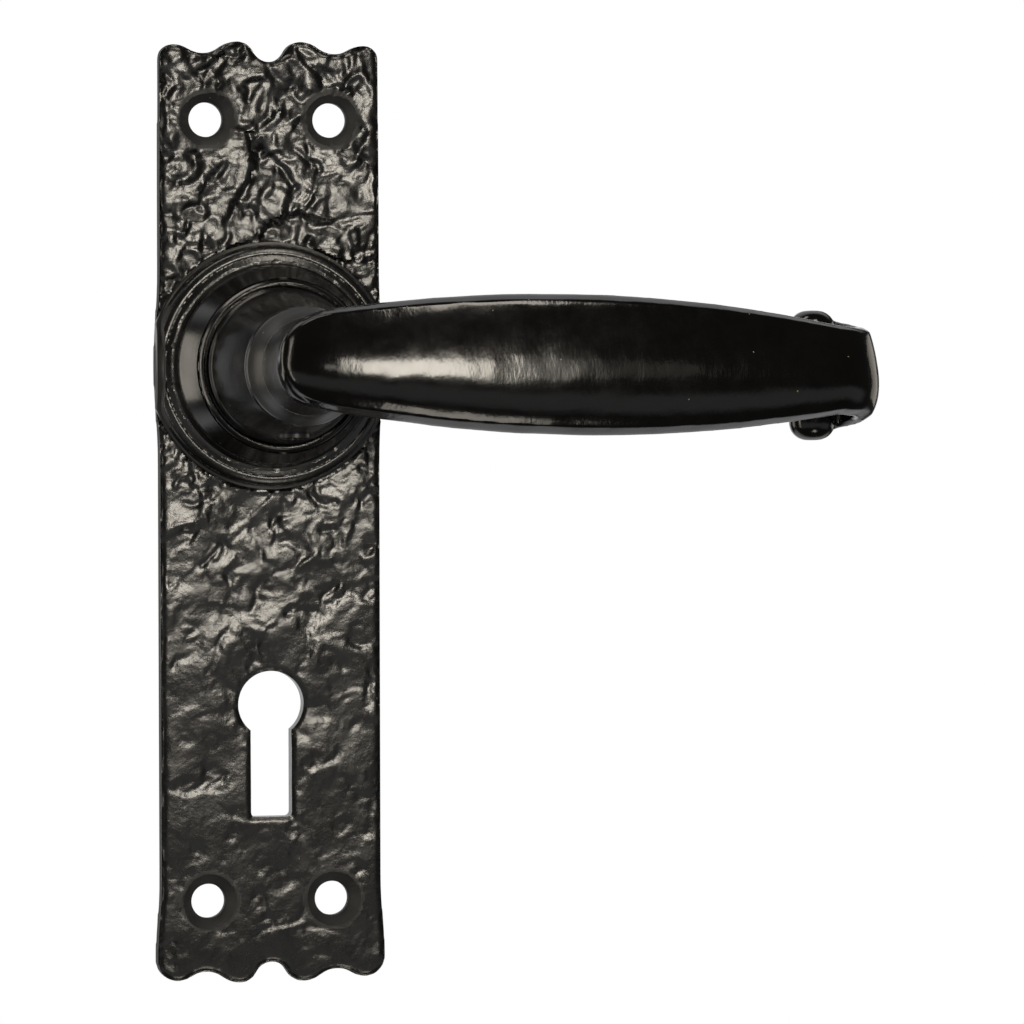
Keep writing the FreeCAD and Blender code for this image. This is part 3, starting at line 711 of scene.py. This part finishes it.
def make_boss_ring():
    """The boss's turned outside: mound, cone and lip, trimmed to the plate's width."""
    outline = [(MOUND_RADIUS - 0.1, 1.4), (MOUND_RADIUS, PLATE_THICKNESS)]
    outline += arc_between((MOUND_RADIUS, PLATE_THICKNESS), MOUND_END, MOUND_BULGE, 18)
    outline += arc_between(MOUND_END, (LIP_RADIUS, BOSS_HEIGHT - LIP_BEVEL), CONE_BULGE, 8)
    outline += [(LIP_RADIUS - LIP_BEVEL, BOSS_HEIGHT), (LIP_INNER, BOSS_HEIGHT), *BOSS_INSIDE]
    ring = spun(outline, 256, closed=True)
    bevel_sharp(ring, 25, 0.1, 2)
    for vert in ring.verts:
        x, height, z = in_mm(vert)
        radius = math.hypot(x, z)
        if radius > MOUND_END[0] + 0.1 and height > 2:
            turn = Vector((x / radius, z / radius, radius / 1.1))
            uneven = noise.noise(turn * 1.6) * 0.09 + noise.noise(turn * 4.3 + Vector((5, 2, 0))) * 0.05
            vert.co.y -= uneven * mm
    reach = MOUND_RADIUS + BEYOND
    for side in (-1, 1):
        ring = cut(ring, box_between(
            (side * MOUND_TRIM, -BEYOND, -reach), (side * reach, BOSS_HEIGHT + BEYOND, reach)))
    make_dull(ring, lambda v: RING_DULLNESS if math.hypot(v.co.x, v.co.z) / mm > MOUND_END[0] + 0.2 else 0.0)
    return ring


def keyhole_cutters():
    """The round eye and the slot below it, whose lower corners are rounded."""
    high = PLATE_THICKNESS + BEYOND
    eye = shifted(round_bar(KEY_EYE_RADIUS, -BEYOND, high, 72), 0, 0, KEY_Z)
    low = KEY_Z - KEY_SLOT_LENGTH
    slot = box_between((-KEY_SLOT_HALF, -BEYOND, low), (KEY_SLOT_HALF, high, KEY_Z))
    lower = [e for e in slot.edges if all(v.co.z < (low + 1) * mm for v in e.verts)
             and abs(e.verts[0].co.y - e.verts[1].co.y) > mm]
    bevel_edges(slot, lower, KEY_SLOT_CORNER, 5)
    return eye, slot


def screw_places():
    """The x and z of the four screw holes."""
    return [(x, z) for x in (-SCREW_X, SCREW_X) for z in SCREW_ROWS]


def screw_cutter(x, z):
    """A bore with a 90 degree countersink."""
    foot = PLATE_THICKNESS - (COUNTERSINK_RADIUS - SCREW_HOLE_RADIUS)
    mouth = PLATE_THICKNESS + BEYOND
    outline = [
        (0, -BEYOND), (SCREW_HOLE_RADIUS, -BEYOND), (SCREW_HOLE_RADIUS, foot),
        (COUNTERSINK_RADIUS + BEYOND, mouth), (0, mouth),
    ]
    return shifted(spun(outline, 72), x, 0, z)


def make_cast_plate():
    """The CAD plate with its holes stopped, remeshed, hammered and drilled again."""
    # noise_vector is shifted by the random seed, which is the clock until it is set
    noise.seed_set(settings().relief_seed + 1)
    plug_radius = COUNTERSINK_RADIUS + 0.8
    plugs = [shifted(round_bar(plug_radius, 0, PLATE_THICKNESS), x, 0, z) for x, z in screw_places()]
    half = KEY_EYE_RADIUS + 1.4
    plugs.append(box_between(
        (-half, 0, KEY_Z - KEY_SLOT_LENGTH - 1), (half, PLATE_THICKNESS, KEY_Z + half)))
    bm = remeshed(joined(merged_copy("backplate"), *plugs), settings().plate_voxel)
    smooth(bm, bm.verts, 2)
    relieve_plate(bm)
    bm = cut(bm, *keyhole_cutters(), *[screw_cutter(x, z) for x, z in screw_places()])
    flat_back(bm)
    bm.normal_update()
    make_dull(bm, plate_dullness)
    return bm


def plate_dullness(vert):
    """The as-cast sides of the plate and the countersinks are dull, the front is not."""
    x, _, z = in_mm(vert)
    if abs(x) > SIDES_FROM or z > HEAD_FROM or z < FOOT_FROM:
        return 1 - ease(0.25, 0.7, abs(vert.normal.y))
    drilled = min(math.hypot(x - place[0], z - place[1]) for place in screw_places())
    return 1.0 if drilled < COUNTERSINK_RADIUS + 0.02 else 0.0


def flat_back(bm):
    """Fills the plate's flat back with a few large faces in place of the fine mesh."""
    fine = [f for f in bm.faces if all(v.co.y > -0.02 * mm for v in f.verts)]
    bmesh.ops.delete(bm, geom=fine, context="FACES")
    rims = [e for e in bm.edges if e.is_boundary]
    for edge in rims:
        for vert in edge.verts:
            vert.co.y = 0
    bmesh.ops.triangle_fill(bm, edges=rims, normal=(0, 1, 0), use_beauty=False, use_dissolve=False)
    bmesh.ops.recalc_face_normals(bm, faces=bm.faces)


# The lever

def neck_radius(height):
    """The neck tapers from the bead, quickly and then slowly, to end flush with the nose."""
    taper = NECK_TAPER * (GRIP_HEIGHT - height)
    hollow = BELL_TOP_RADIUS - NECK_RADIUS - NECK_TAPER * (GRIP_HEIGHT - NECK_FOOT)
    return NECK_RADIUS + taper + hollow * math.exp(-(height - NECK_FOOT) / NECK_HOLLOW)


def make_turned_core():
    """Shank, collar, bell and bead, bored for the spindle, the grub screw and the drive plate's flats."""
    bell_foot = (COLLAR_RADIUS - COLLAR_CHAMFER, BELL_FOOT)
    bell_top = (BELL_TOP_RADIUS, BELL_TOP)
    outline = [
        (0, CORE_BACK), (SHANK_RADIUS - 0.3, CORE_BACK), (SHANK_RADIUS, CORE_BACK + 0.3),
        (SHANK_RADIUS, CLIP_GROOVE_BACK), (CLIP_GROOVE_RADIUS, CLIP_GROOVE_BACK),
        (CLIP_GROOVE_RADIUS, CLIP_GROOVE_FRONT), (SHANK_RADIUS, CLIP_GROOVE_FRONT),
        (SHANK_RADIUS, COLLAR_FOOT), (COLLAR_RADIUS - COLLAR_CHAMFER, COLLAR_FOOT),
        (COLLAR_RADIUS - 0.1, COLLAR_FOOT + 0.1), (COLLAR_RADIUS, COLLAR_FOOT + COLLAR_CHAMFER),
        (COLLAR_RADIUS, BELL_FOOT - 0.4), bell_foot,
    ]
    outline += arc_between(bell_foot, bell_top, BELL_BULGE, 22)
    outline += arc_between(bell_top, (BELL_TOP_RADIUS, NECK_FOOT), (BEAD_RADIUS - BELL_TOP_RADIUS) / 2, 6)
    neck = [NECK_FOOT + 0.3 * i for i in range(1, 13)]
    outline += [(neck_radius(height) + 0.04, height) for height in neck]
    outline.append((0, neck[-1]))
    reach = SHANK_RADIUS + BEYOND
    socket = box_between((-SOCKET_HALF, -BEYOND, -SOCKET_HALF), (SOCKET_HALF, SOCKET_DEPTH, SOCKET_HALF))
    flats = [
        box_between((side * FLAT_HALF, -BEYOND, -reach), (side * reach, FLAT_END, reach)) for side in (-1, 1)]
    hole = shifted(upright_bar(GRUB_HOLE_RADIUS, GRUB_HOLE_LENGTH, 48), 0, GRUB_HEIGHT, -GRUB_HOLE_LENGTH / 2)
    bm = cut(spun(outline, 160), socket, *flats, hole)
    make_dull(bm, lambda vert: NECK_DULLNESS if in_mm(vert)[1] > NECK_FOOT else 0.0)
    return bm


def bow_slope(x):
    """Slope of the grip's line at x, in radians."""
    return math.asin(math.sin(math.radians(BOW_SLOPE)) - x / BOW_RADIUS)


def bow_height(x):
    """Height of the grip's line at x."""
    return GRIP_HEIGHT + BOW_RADIUS * (math.cos(bow_slope(x)) - math.cos(math.radians(BOW_SLOPE)))


def grip_width_at(x):
    """The leaf's width at x, widest in its middle."""
    loss = GRIP_WIDTH - GRIP_WIDTH_AT_SPINDLE
    return GRIP_WIDTH - loss * ((x - GRIP_WIDEST) / GRIP_WIDEST) ** 2


def grip_line(x):
    """How far the grip's middle lies above the spindle."""
    return GRIP_RISE - math.tan(math.radians(GRIP_DROOP)) * max(x, 0)


def section_place(x, height, slope, width, thickness, z):
    """Matrix that puts the unit section at a place of the bar, scaled and square to its line."""
    turn = Matrix((
        (0, -math.sin(slope), math.cos(slope)),
        (0, -math.cos(slope), -math.sin(slope)),
        (1, 0, 0),
    )).to_4x4()
    size = Matrix.Diagonal((width * mm / 2, thickness * mm / 2, 1, 1))
    return Matrix.Translation(point(x, height, z)) @ turn @ size


def nose_drop(x):
    """How far the front of the grip falls towards the rounded nose."""
    return NOSE_DROP * max(0, (NOSE_DOME - x) / (NOSE_DOME + NOSE_LENGTH)) ** NOSE_DROP_POWER


def nose_fullness(x):
    """Share of the full width at a place of the rounded nose."""
    share = min(max((NOSE_ROOT - x) / NOSE_LENGTH, 0), NOSE_SHARES[0])
    return (1 - share ** NOSE_POWER) ** (1 / NOSE_POWER)


def nose_stations():
    """Places of the section along the rounded nose, each with its slope, width and thickness."""
    stations = []
    for share in NOSE_SHARES:
        x = NOSE_ROOT - share * NOSE_LENGTH
        fullness = nose_fullness(x)
        thickness = GRIP_THICKNESS * (NOSE_THINNEST + (1 - NOSE_THINNEST) * fullness) - nose_drop(x)
        height = bow_height(x) - (GRIP_THICKNESS - thickness) / 2
        stations.append((x, height, bow_slope(x), grip_width_at(x) * fullness, thickness, grip_line(x)))
    return stations


def bow_stations():
    """The same along the bow, up to the curl."""
    stations = []
    for i in range(BOW_STEPS + 1):
        x = NOSE_ROOT + (CURL_START - NOSE_ROOT) * i / BOW_STEPS
        share = max(0, (x - GRIP_WIDEST) / (CURL_START - GRIP_WIDEST))
        loss = (GRIP_THICKNESS - CURL_START_THICKNESS) * share
        thickness = GRIP_THICKNESS - loss - nose_drop(x)
        height = bow_height(x) + (loss - nose_drop(x)) / 2
        stations.append((x, height, bow_slope(x), grip_width_at(x), thickness, grip_line(x)))
    return stations


def curl_place(radius, slope):
    """The x and height of a place on the curl."""
    start = bow_slope(CURL_START)
    height = bow_height(CURL_START) + (GRIP_THICKNESS - CURL_START_THICKNESS) / 2
    return (
        CURL_START + CURL_RADIUS * math.sin(start) - radius * math.sin(slope),
        height - CURL_RADIUS * math.cos(start) + radius * math.cos(slope))


def curl_stations():
    """The same round the curl, whose end is thin and wide."""
    stations = []
    width = grip_width_at(CURL_START)
    for i in range(1, CURL_STEPS + 1):
        share = i / CURL_STEPS
        slope = bow_slope(CURL_START) - math.radians(CURL_TURN) * share
        flare = max(0, (share - CURL_FLARE_FROM) / (1 - CURL_FLARE_FROM)) ** CURL_FLARE_POWER
        stations.append((
            *curl_place(CURL_RADIUS, slope), slope, width + (CURL_END_WIDTH - width) * flare,
            CURL_START_THICKNESS + (CURL_END_THICKNESS - CURL_START_THICKNESS) * share,
            grip_line(CURL_START) - CURL_DROOP * min(share / CURL_DROOP_SHARE, 1)))
    return stations


def grip_outline():
    """The grip's section in its shares: crowned front, arris, drafted side and back, all the way round."""
    def crown(a):
        return 0.972 - 0.56 * a * a - 0.31 * a * (1 - a * a) - 0.17 * a ** 6

    def half(arris, side):
        front = [(side * arris * i / 12, crown(side * arris * i / 12)) for i in range(1, 13)]
        return front + [(side * a, b) for a, b in SECTION_SIDE + SECTION_BACK]

    left = half(ARRIS_BOTTOM, -1)[:-1]
    outline = half(ARRIS_TOP, 1) + left[::-1] + [(0.0, crown(0.0))]
    return [Vector((a, b, 0)) for a, b in outline]


def make_neck_flare():
    """The casting's blend from the round neck into the nose and the underside of the grip."""
    bm = bmesh.new()
    turn = bm.verts.layers.float.new("turn")
    bmesh.ops.create_circle(bm, cap_ends=False, radius=1, segments=96)
    for vert in bm.verts:
        vert[turn] = math.atan2(vert.co.y, vert.co.x)
    top = GRIP_HEIGHT - GRIP_THICKNESS / 2 + 0.8
    steps = 18

    def place_ring(verts, step):
        height = FLARE_START + (top - FLARE_START) * step / steps
        share = (step / steps) ** FLARE_POWER
        radius = neck_radius(height) - 0.02
        for vert in verts:
            across, along = math.sin(vert[turn]), math.cos(vert[turn])
            x = along * (FLARE_LENGTH if along > 0 else NECK_RADIUS)
            half = FLARE_WIDTH * abs(across) if along > 0 else grip_width_at(x) / 2 * nose_fullness(x) - 0.15
            z = math.copysign(max(half, 0), across) + GRIP_RISE
            round_x, round_z = radius * along, radius * across
            vert.co = point(round_x + share * (x - round_x), height, round_z + share * (z - round_z))

    place_ring(bm.verts, 0)
    edges = bm.edges[:]
    bmesh.ops.contextual_create(bm, geom=edges)
    for step in range(1, steps + 1):
        edges = grow(bm, edges, lambda verts: place_ring(verts, step))
    bmesh.ops.contextual_create(bm, geom=edges)
    return closed_outwards(bm)


def make_eye():
    """The rolled tip of the curl: a short upright roll with round ends."""
    eye = upright_bar(EYE_RADIUS, EYE_LENGTH, 64)
    bevel_edges(eye, [e for e in eye.edges if e.calc_face_angle(0) > 1], EYE_ROUND, 9)
    slope = bow_slope(CURL_START) - math.radians(CURL_TURN)
    x, height = curl_place(CURL_RADIUS + CURL_END_THICKNESS / 2 - EYE_RADIUS, slope)
    return shifted(eye, x, height, grip_line(CURL_START) - CURL_DROOP)


def make_grip():
    """Nose, bow and curl swept as one bar, with the rolled eye, the neck and its blend."""
    stations = nose_stations() + bow_stations() + curl_stations()
    bar = swept(grip_outline(), [section_place(*station) for station in stations])
    top = GRIP_HEIGHT - 0.8
    neck_line = [(0, NECK_FOOT)]
    neck_line += [(neck_radius(NECK_FOOT + 0.4 * i), NECK_FOOT + 0.4 * i) for i in range(28)]
    neck_line += [(NECK_RADIUS, top), (0, top)]
    bm = joined(bar, make_eye(), spun(neck_line, 128), make_neck_flare())
    bm = remeshed(bm, settings().lever_voxel)
    smooth(bm, bm.verts, 1)
    soften_joints(bm)
    roughen_grip(bm)
    make_dull(bm, neck_dullness)
    return bm


def neck_dullness(vert):
    """The turned neck is dull up to where the grip starts."""
    x, height, z = in_mm(vert)
    return NECK_DULLNESS * ease(44, 42, height) if math.hypot(x, z) < 11 else 0.0


def soften_joints(bm):
    """Rounds the hollows where the neck meets the grip and the eye meets the curl, as a casting has them."""
    curl_height = curl_place(0, 0)[1]
    hollows = []
    for vert in bm.verts:
        x, height, _ = in_mm(vert)
        at_neck = -3.0 < x < 19 and 38.5 < height < 43.5
        at_eye = x > 80 and height < curl_height + 1
        if at_neck or at_eye:
            hollows.append(vert)
    smooth(bm, hollows, 6)


def roughen_grip(bm):
    """Leaves the slight waviness of a fettled casting on the grip, none on the turned neck."""
    bm.normal_update()
    for vert in bm.verts:
        spot = vert.co / mm
        level = max(ease(43, 46, -spot.y), ease(20, 26, spot.x))
        wave = noise.noise(spot / 9.0) * 0.07 + noise.noise(spot / 3.2 + Vector((4, 9, 2))) * 0.035
        vert.co += vert.normal * ((wave - 0.1) * level) * mm


# The return spring

def make_coil():
    """Round wire: a leg, a bend, the coil, a bend and a leg, spun and extruded in one run."""
    bm = bmesh.new()
    bmesh.ops.create_circle(bm, cap_ends=False, radius=WIRE_RADIUS * mm, segments=20)
    start = math.radians(COIL_START_ANGLE)
    end = start + 2 * math.pi * COIL_TURNS
    bend = COIL_BEND * mm
    spindle = Vector((0, 1, 0))

    def at(angle, height):
        return point(COIL_RADIUS * math.cos(angle), height, COIL_RADIUS * math.sin(angle))

    def tangent(angle):
        return Vector((-math.sin(angle), 0, math.cos(angle)))

    def straight(edges, height):
        return grow(bm, edges, lambda verts: bmesh.ops.translate(bm, verts=verts, vec=point(0, height, 0)))

    def bent(edges, pivot, angle):
        return swing(bm, edges, pivot, tangent(angle).cross(spindle), math.pi / 2, COIL_BEND_STEPS)

    tip = at(start, LEG_TIP) - tangent(start) * bend
    turn = Vector((0, 0, 1)).rotation_difference(spindle).to_matrix().to_4x4()
    bmesh.ops.transform(bm, matrix=Matrix.Translation(tip) @ turn, verts=bm.verts)
    edges = bm.edges[:]
    bmesh.ops.contextual_create(bm, geom=edges)
    edges = straight(edges, COIL_FRONT + COIL_BEND - LEG_TIP)
    edges = bent(edges, at(start, COIL_FRONT + COIL_BEND), start)
    drift = point(0, (COIL_BACK - COIL_FRONT) / COIL_STEPS, 0)
    edges = swing(bm, edges, Vector(), -spindle, end - start, COIL_STEPS, drift)
    edges = bent(edges, at(end, COIL_BACK - COIL_BEND), end)
    edges = straight(edges, DRIVE_BACK - (COIL_BACK - COIL_BEND))
    bmesh.ops.contextual_create(bm, geom=edges)
    return closed_outwards(bm)


# What a user would change

class LeverHandleSettings(bpy.types.PropertyGroup):
    """Sizes and colours of the dressed handle"""
    plate_voxel: FloatProperty(
        name="Plate mesh", description="Cell of the hammered plate's mesh, in mm",
        default=0.36, min=0.3, max=2.0)
    lever_voxel: FloatProperty(
        name="Lever mesh", description="Cell of the grip's mesh, in mm",
        default=0.36, min=0.3, max=2.0)
    relief_depth: FloatProperty(
        name="Hammer depth", description="Depth of the hammered skin, in mm", default=1.0, min=0.0, max=1.5)
    relief_seed: IntProperty(
        name="Hammer pattern", description="Which hammered pattern the plate has", default=3, min=0)
    coating_dark: StringProperty(
        name="Coating, dark", description="Darkest colour of the black coating", default="#040404")
    coating_light: StringProperty(
        name="Coating, light", description="Lightest colour of the black coating", default="#0b0a09")
    plate_ior: FloatProperty(
        name="Plate IOR", description="Index of refraction of the coating on the plate and the turned rings",
        default=1.6, min=1.3, max=2.2)
    lever_ior: FloatProperty(
        name="Lever IOR", description="Index of refraction of the coating on the grip",
        default=1.46, min=1.3, max=2.2)
    plate_roughness: FloatProperty(
        name="Plate roughness", description="Roughness of the coating on the plate",
        default=0.27, subtype="FACTOR", min=0.0, max=1.0)
    lever_roughness: FloatProperty(
        name="Lever roughness", description="Roughness of the coating on the lever",
        default=0.14, subtype="FACTOR", min=0.0, max=1.0)
    lamp_colour: FloatVectorProperty(
        name="Lamp colour", description="Colour of the softboxes",
        default=(1.0, 0.93, 0.81), size=3, subtype="COLOR", min=0.0, max=1.0)
    camera_distance: FloatProperty(
        name="Camera distance", description="From the camera to the middle of the picture",
        default=1.0, subtype="DISTANCE", unit="LENGTH", min=0.2)


# Operators

class LeverHandlePlate(bpy.types.Operator):
    """Makes the hammered plate and the turned ring of its boss"""
    bl_idname = "lever_handle.plate"
    bl_label = "Hammered plate"

    def execute(self, context):
        finish_piece(
            make_cast_plate(), "hammered_plate", "plate", "black_stoved_iron_hammered",
            "backplate", 40)
        finish_piece(
            make_boss_ring(), "boss_ring", "plate", "black_stoved_iron_turned",
            "backplate", 50)
        return {"FINISHED"}


class LeverHandleLever(bpy.types.Operator):
    """Makes the turned core and the leaf-shaped grip of the lever"""
    bl_idname = "lever_handle.lever"
    bl_label = "Lever casting"

    def execute(self, context):
        finish_piece(
            make_turned_core(), "lever_core", "lever_set", "black_stoved_iron_turned",
            "lever", 30)
        finish_piece(
            make_grip(), "lever_grip", "lever_set", "black_stoved_iron_fettled",
            "lever", 60)
        return {"FINISHED"}


class LeverHandleSpring(bpy.types.Operator):
    """Makes the return spring of round wire, which twists as the lever turns"""
    bl_idname = "lever_handle.spring"
    bl_label = "Return spring"

    def execute(self, context):
        wire = finish_piece(
            make_coil(), "return_coil", None, "oil_tempered_spring_steel",
            "return_spring", 60)
        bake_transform(wire)
        return {"FINISHED"}


class LeverHandleFittings(bpy.types.Operator):
    """Gives the washers, bush, drive plate, circlip and grub screw their finishes"""
    bl_idname = "lever_handle.fittings"
    bl_label = "Inner fittings"

    def execute(self, context):
        finishes = {
            "front_washer": "moulded_black_nylon",
            "bearing_bush": "moulded_black_nylon",
            "thrust_washer": "bright_zinc_plated_steel",
            "drive_plate": "bright_zinc_plated_steel",
            "circlip": "oil_tempered_spring_steel",
            "grub_screw": "black_oxide_steel",
        }
        for node, finish in finishes.items():
            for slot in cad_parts[node].material_slots:
                slot.material = material_named(finish)
        return {"FINISHED"}


def around(aim, azimuth, elevation, distance):
    """A place seen from aim at an azimuth, 0 in front, and an elevation."""
    a, e = math.radians(azimuth), math.radians(elevation)
    back = Vector((math.sin(a) * math.cos(e), -math.cos(a) * math.cos(e), math.sin(e)))
    return aim + back * distance


def add_camera(scene):
    """The camera that took the photograph, as near as its outlines tell."""
    camera = bpy.data.cameras.new("camera")
    camera.sensor_width = CAMERA_SENSOR
    camera.lens = CAMERA_FOCAL_SHARE * CAMERA_SENSOR
    camera.clip_end = 20
    obj = bpy.data.objects.new("camera", camera)
    obj.location = around(CAMERA_AIM, CAMERA_AZIMUTH, CAMERA_ELEVATION, settings().camera_distance)
    look = (CAMERA_AIM - obj.location).to_track_quat("-Z", "Y")
    obj.rotation_euler = (look.to_matrix() @ Matrix.Rotation(math.radians(CAMERA_ROLL), 3, "Z")).to_euler()
    scene.collection.objects.link(obj)
    scene.camera = obj


def add_lamp(name, azimuth, elevation, distance, width, height, radiance):
    """A softbox that faces the handle; its power follows from its size and how bright its face is."""
    lamp = bpy.data.lights.new(name, "AREA")
    lamp.shape = "RECTANGLE"
    lamp.size = width
    lamp.size_y = height
    lamp.energy = radiance * math.pi * width * height
    lamp.color = settings().lamp_colour
    obj = bpy.data.objects.new(name, lamp)
    obj.location = around(LAMP_AIM, azimuth, elevation, distance)
    obj.rotation_euler = (LAMP_AIM - obj.location).to_track_quat("-Z", "Y").to_euler()
    bpy.context.scene.collection.objects.link(obj)


def grey_ramp(tree, source, levels):
    """The source through place and level pairs, the first at 0 and the last at 1."""
    ramp = add_node(tree, "ShaderNodeValToRGB", links={"Fac": source})
    elements = ramp.color_ramp.elements
    for place, _ in levels[1:-1]:
        elements.new(place)
    for element, (_, level) in zip(elements, levels):
        element.color = (level, level, level, 1)
    return ramp.outputs["Color"]


def make_surroundings(scene):
    """White to the camera, and to glossy surfaces a dark room with a white table and wall."""
    world = bpy.data.worlds.new("studio")
    scene.world = world
    world.use_nodes = True
    tree = world.node_tree
    tree.nodes.clear()
    rays = add_node(tree, "ShaderNodeLightPath").outputs
    heading = add_node(tree, "ShaderNodeTexCoord").outputs["Generated"]
    way = add_node(tree, "ShaderNodeSeparateXYZ", links={0: heading}).outputs
    wall = grey_ramp(tree, way["Y"], WALL_LEVELS)
    up = add_node(
        tree, "ShaderNodeMath", {1: 0.5, 2: 0.5}, {0: way["Z"]}, operation="MULTIPLY_ADD").outputs[0]
    in_front = ranged(tree, way["Y"], -0.3, 0.0, 1.0, 0.05)
    glow = combined(tree, "MULTIPLY", grey_ramp(tree, up, TABLE_LEVELS), in_front)
    steep = add_node(tree, "ShaderNodeMath", links={0: way["Z"]}, operation="ABSOLUTE").outputs[0]
    tall = ranged(tree, steep, 0.4, 0.6, 0.0, BACKDROP_LEVEL)
    backdrop = combined(tree, "MULTIPLY", tall, ranged(tree, way["Y"], 0.25, 0.45, 0.0, 1.0))
    room = combined(tree, "MAXIMUM", combined(tree, "MAXIMUM", wall, backdrop), glow)
    level = combined(tree, "MULTIPLY", rays["Is Glossy Ray"], room)
    for ray in ("Is Transmission Ray", "Is Camera Ray"):
        level = combined(tree, "MAXIMUM", level, rays[ray])
    filled = add_node(
        tree, "ShaderNodeMath", {1: FILL_LEVEL}, {0: level}, operation="MAXIMUM").outputs[0]
    background = add_node(tree, "ShaderNodeBackground", {"Color": (1, 1, 1, 1)}, {"Strength": filled})
    add_node(tree, "ShaderNodeOutputWorld", links={"Surface": background.outputs[0]})


class LeverHandleStage(bpy.types.Operator):
    """Sets the camera, the softboxes and the white surroundings"""
    bl_idname = "lever_handle.stage"
    bl_label = "Stage"

    def execute(self, context):
        add_camera(context.scene)
        for lamp in LAMPS:
            add_lamp(*lamp)
        make_surroundings(context.scene)
        context.scene.view_settings.view_transform = "Standard"
        return {"FINISHED"}


class LeverHandlePanel(bpy.types.Panel):
    """Lists the handle's settings and its pieces"""
    bl_idname = "VIEW3D_PT_lever_handle"
    bl_label = "Lever handle"
    bl_space_type = "VIEW_3D"
    bl_region_type = "UI"
    bl_category = "Lever handle"

    def draw(self, context):
        layout = self.layout
        look = context.scene.lever_handle
        for name in LeverHandleSettings.__annotations__:
            layout.prop(look, name)
        for operator in OPERATORS:
            layout.operator(operator.bl_idname)


OPERATORS = (LeverHandlePlate, LeverHandleLever, LeverHandleSpring, LeverHandleFittings, LeverHandleStage)
CLASSES = (LeverHandleSettings, *OPERATORS, LeverHandlePanel)


def register():
    for cls in CLASSES:
        bpy.utils.register_class(cls)
    bpy.types.Scene.lever_handle = PointerProperty(type=LeverHandleSettings)


def unregister():
    del bpy.types.Scene.lever_handle
    for cls in reversed(CLASSES):
        bpy.utils.unregister_class(cls)


def main():
    register()
    bpy.ops.lever_handle.plate()
    bpy.ops.lever_handle.lever()
    bpy.ops.lever_handle.spring()
    bpy.ops.lever_handle.fittings()
    bpy.ops.lever_handle.stage()


if __name__ == "__main__":
    main()
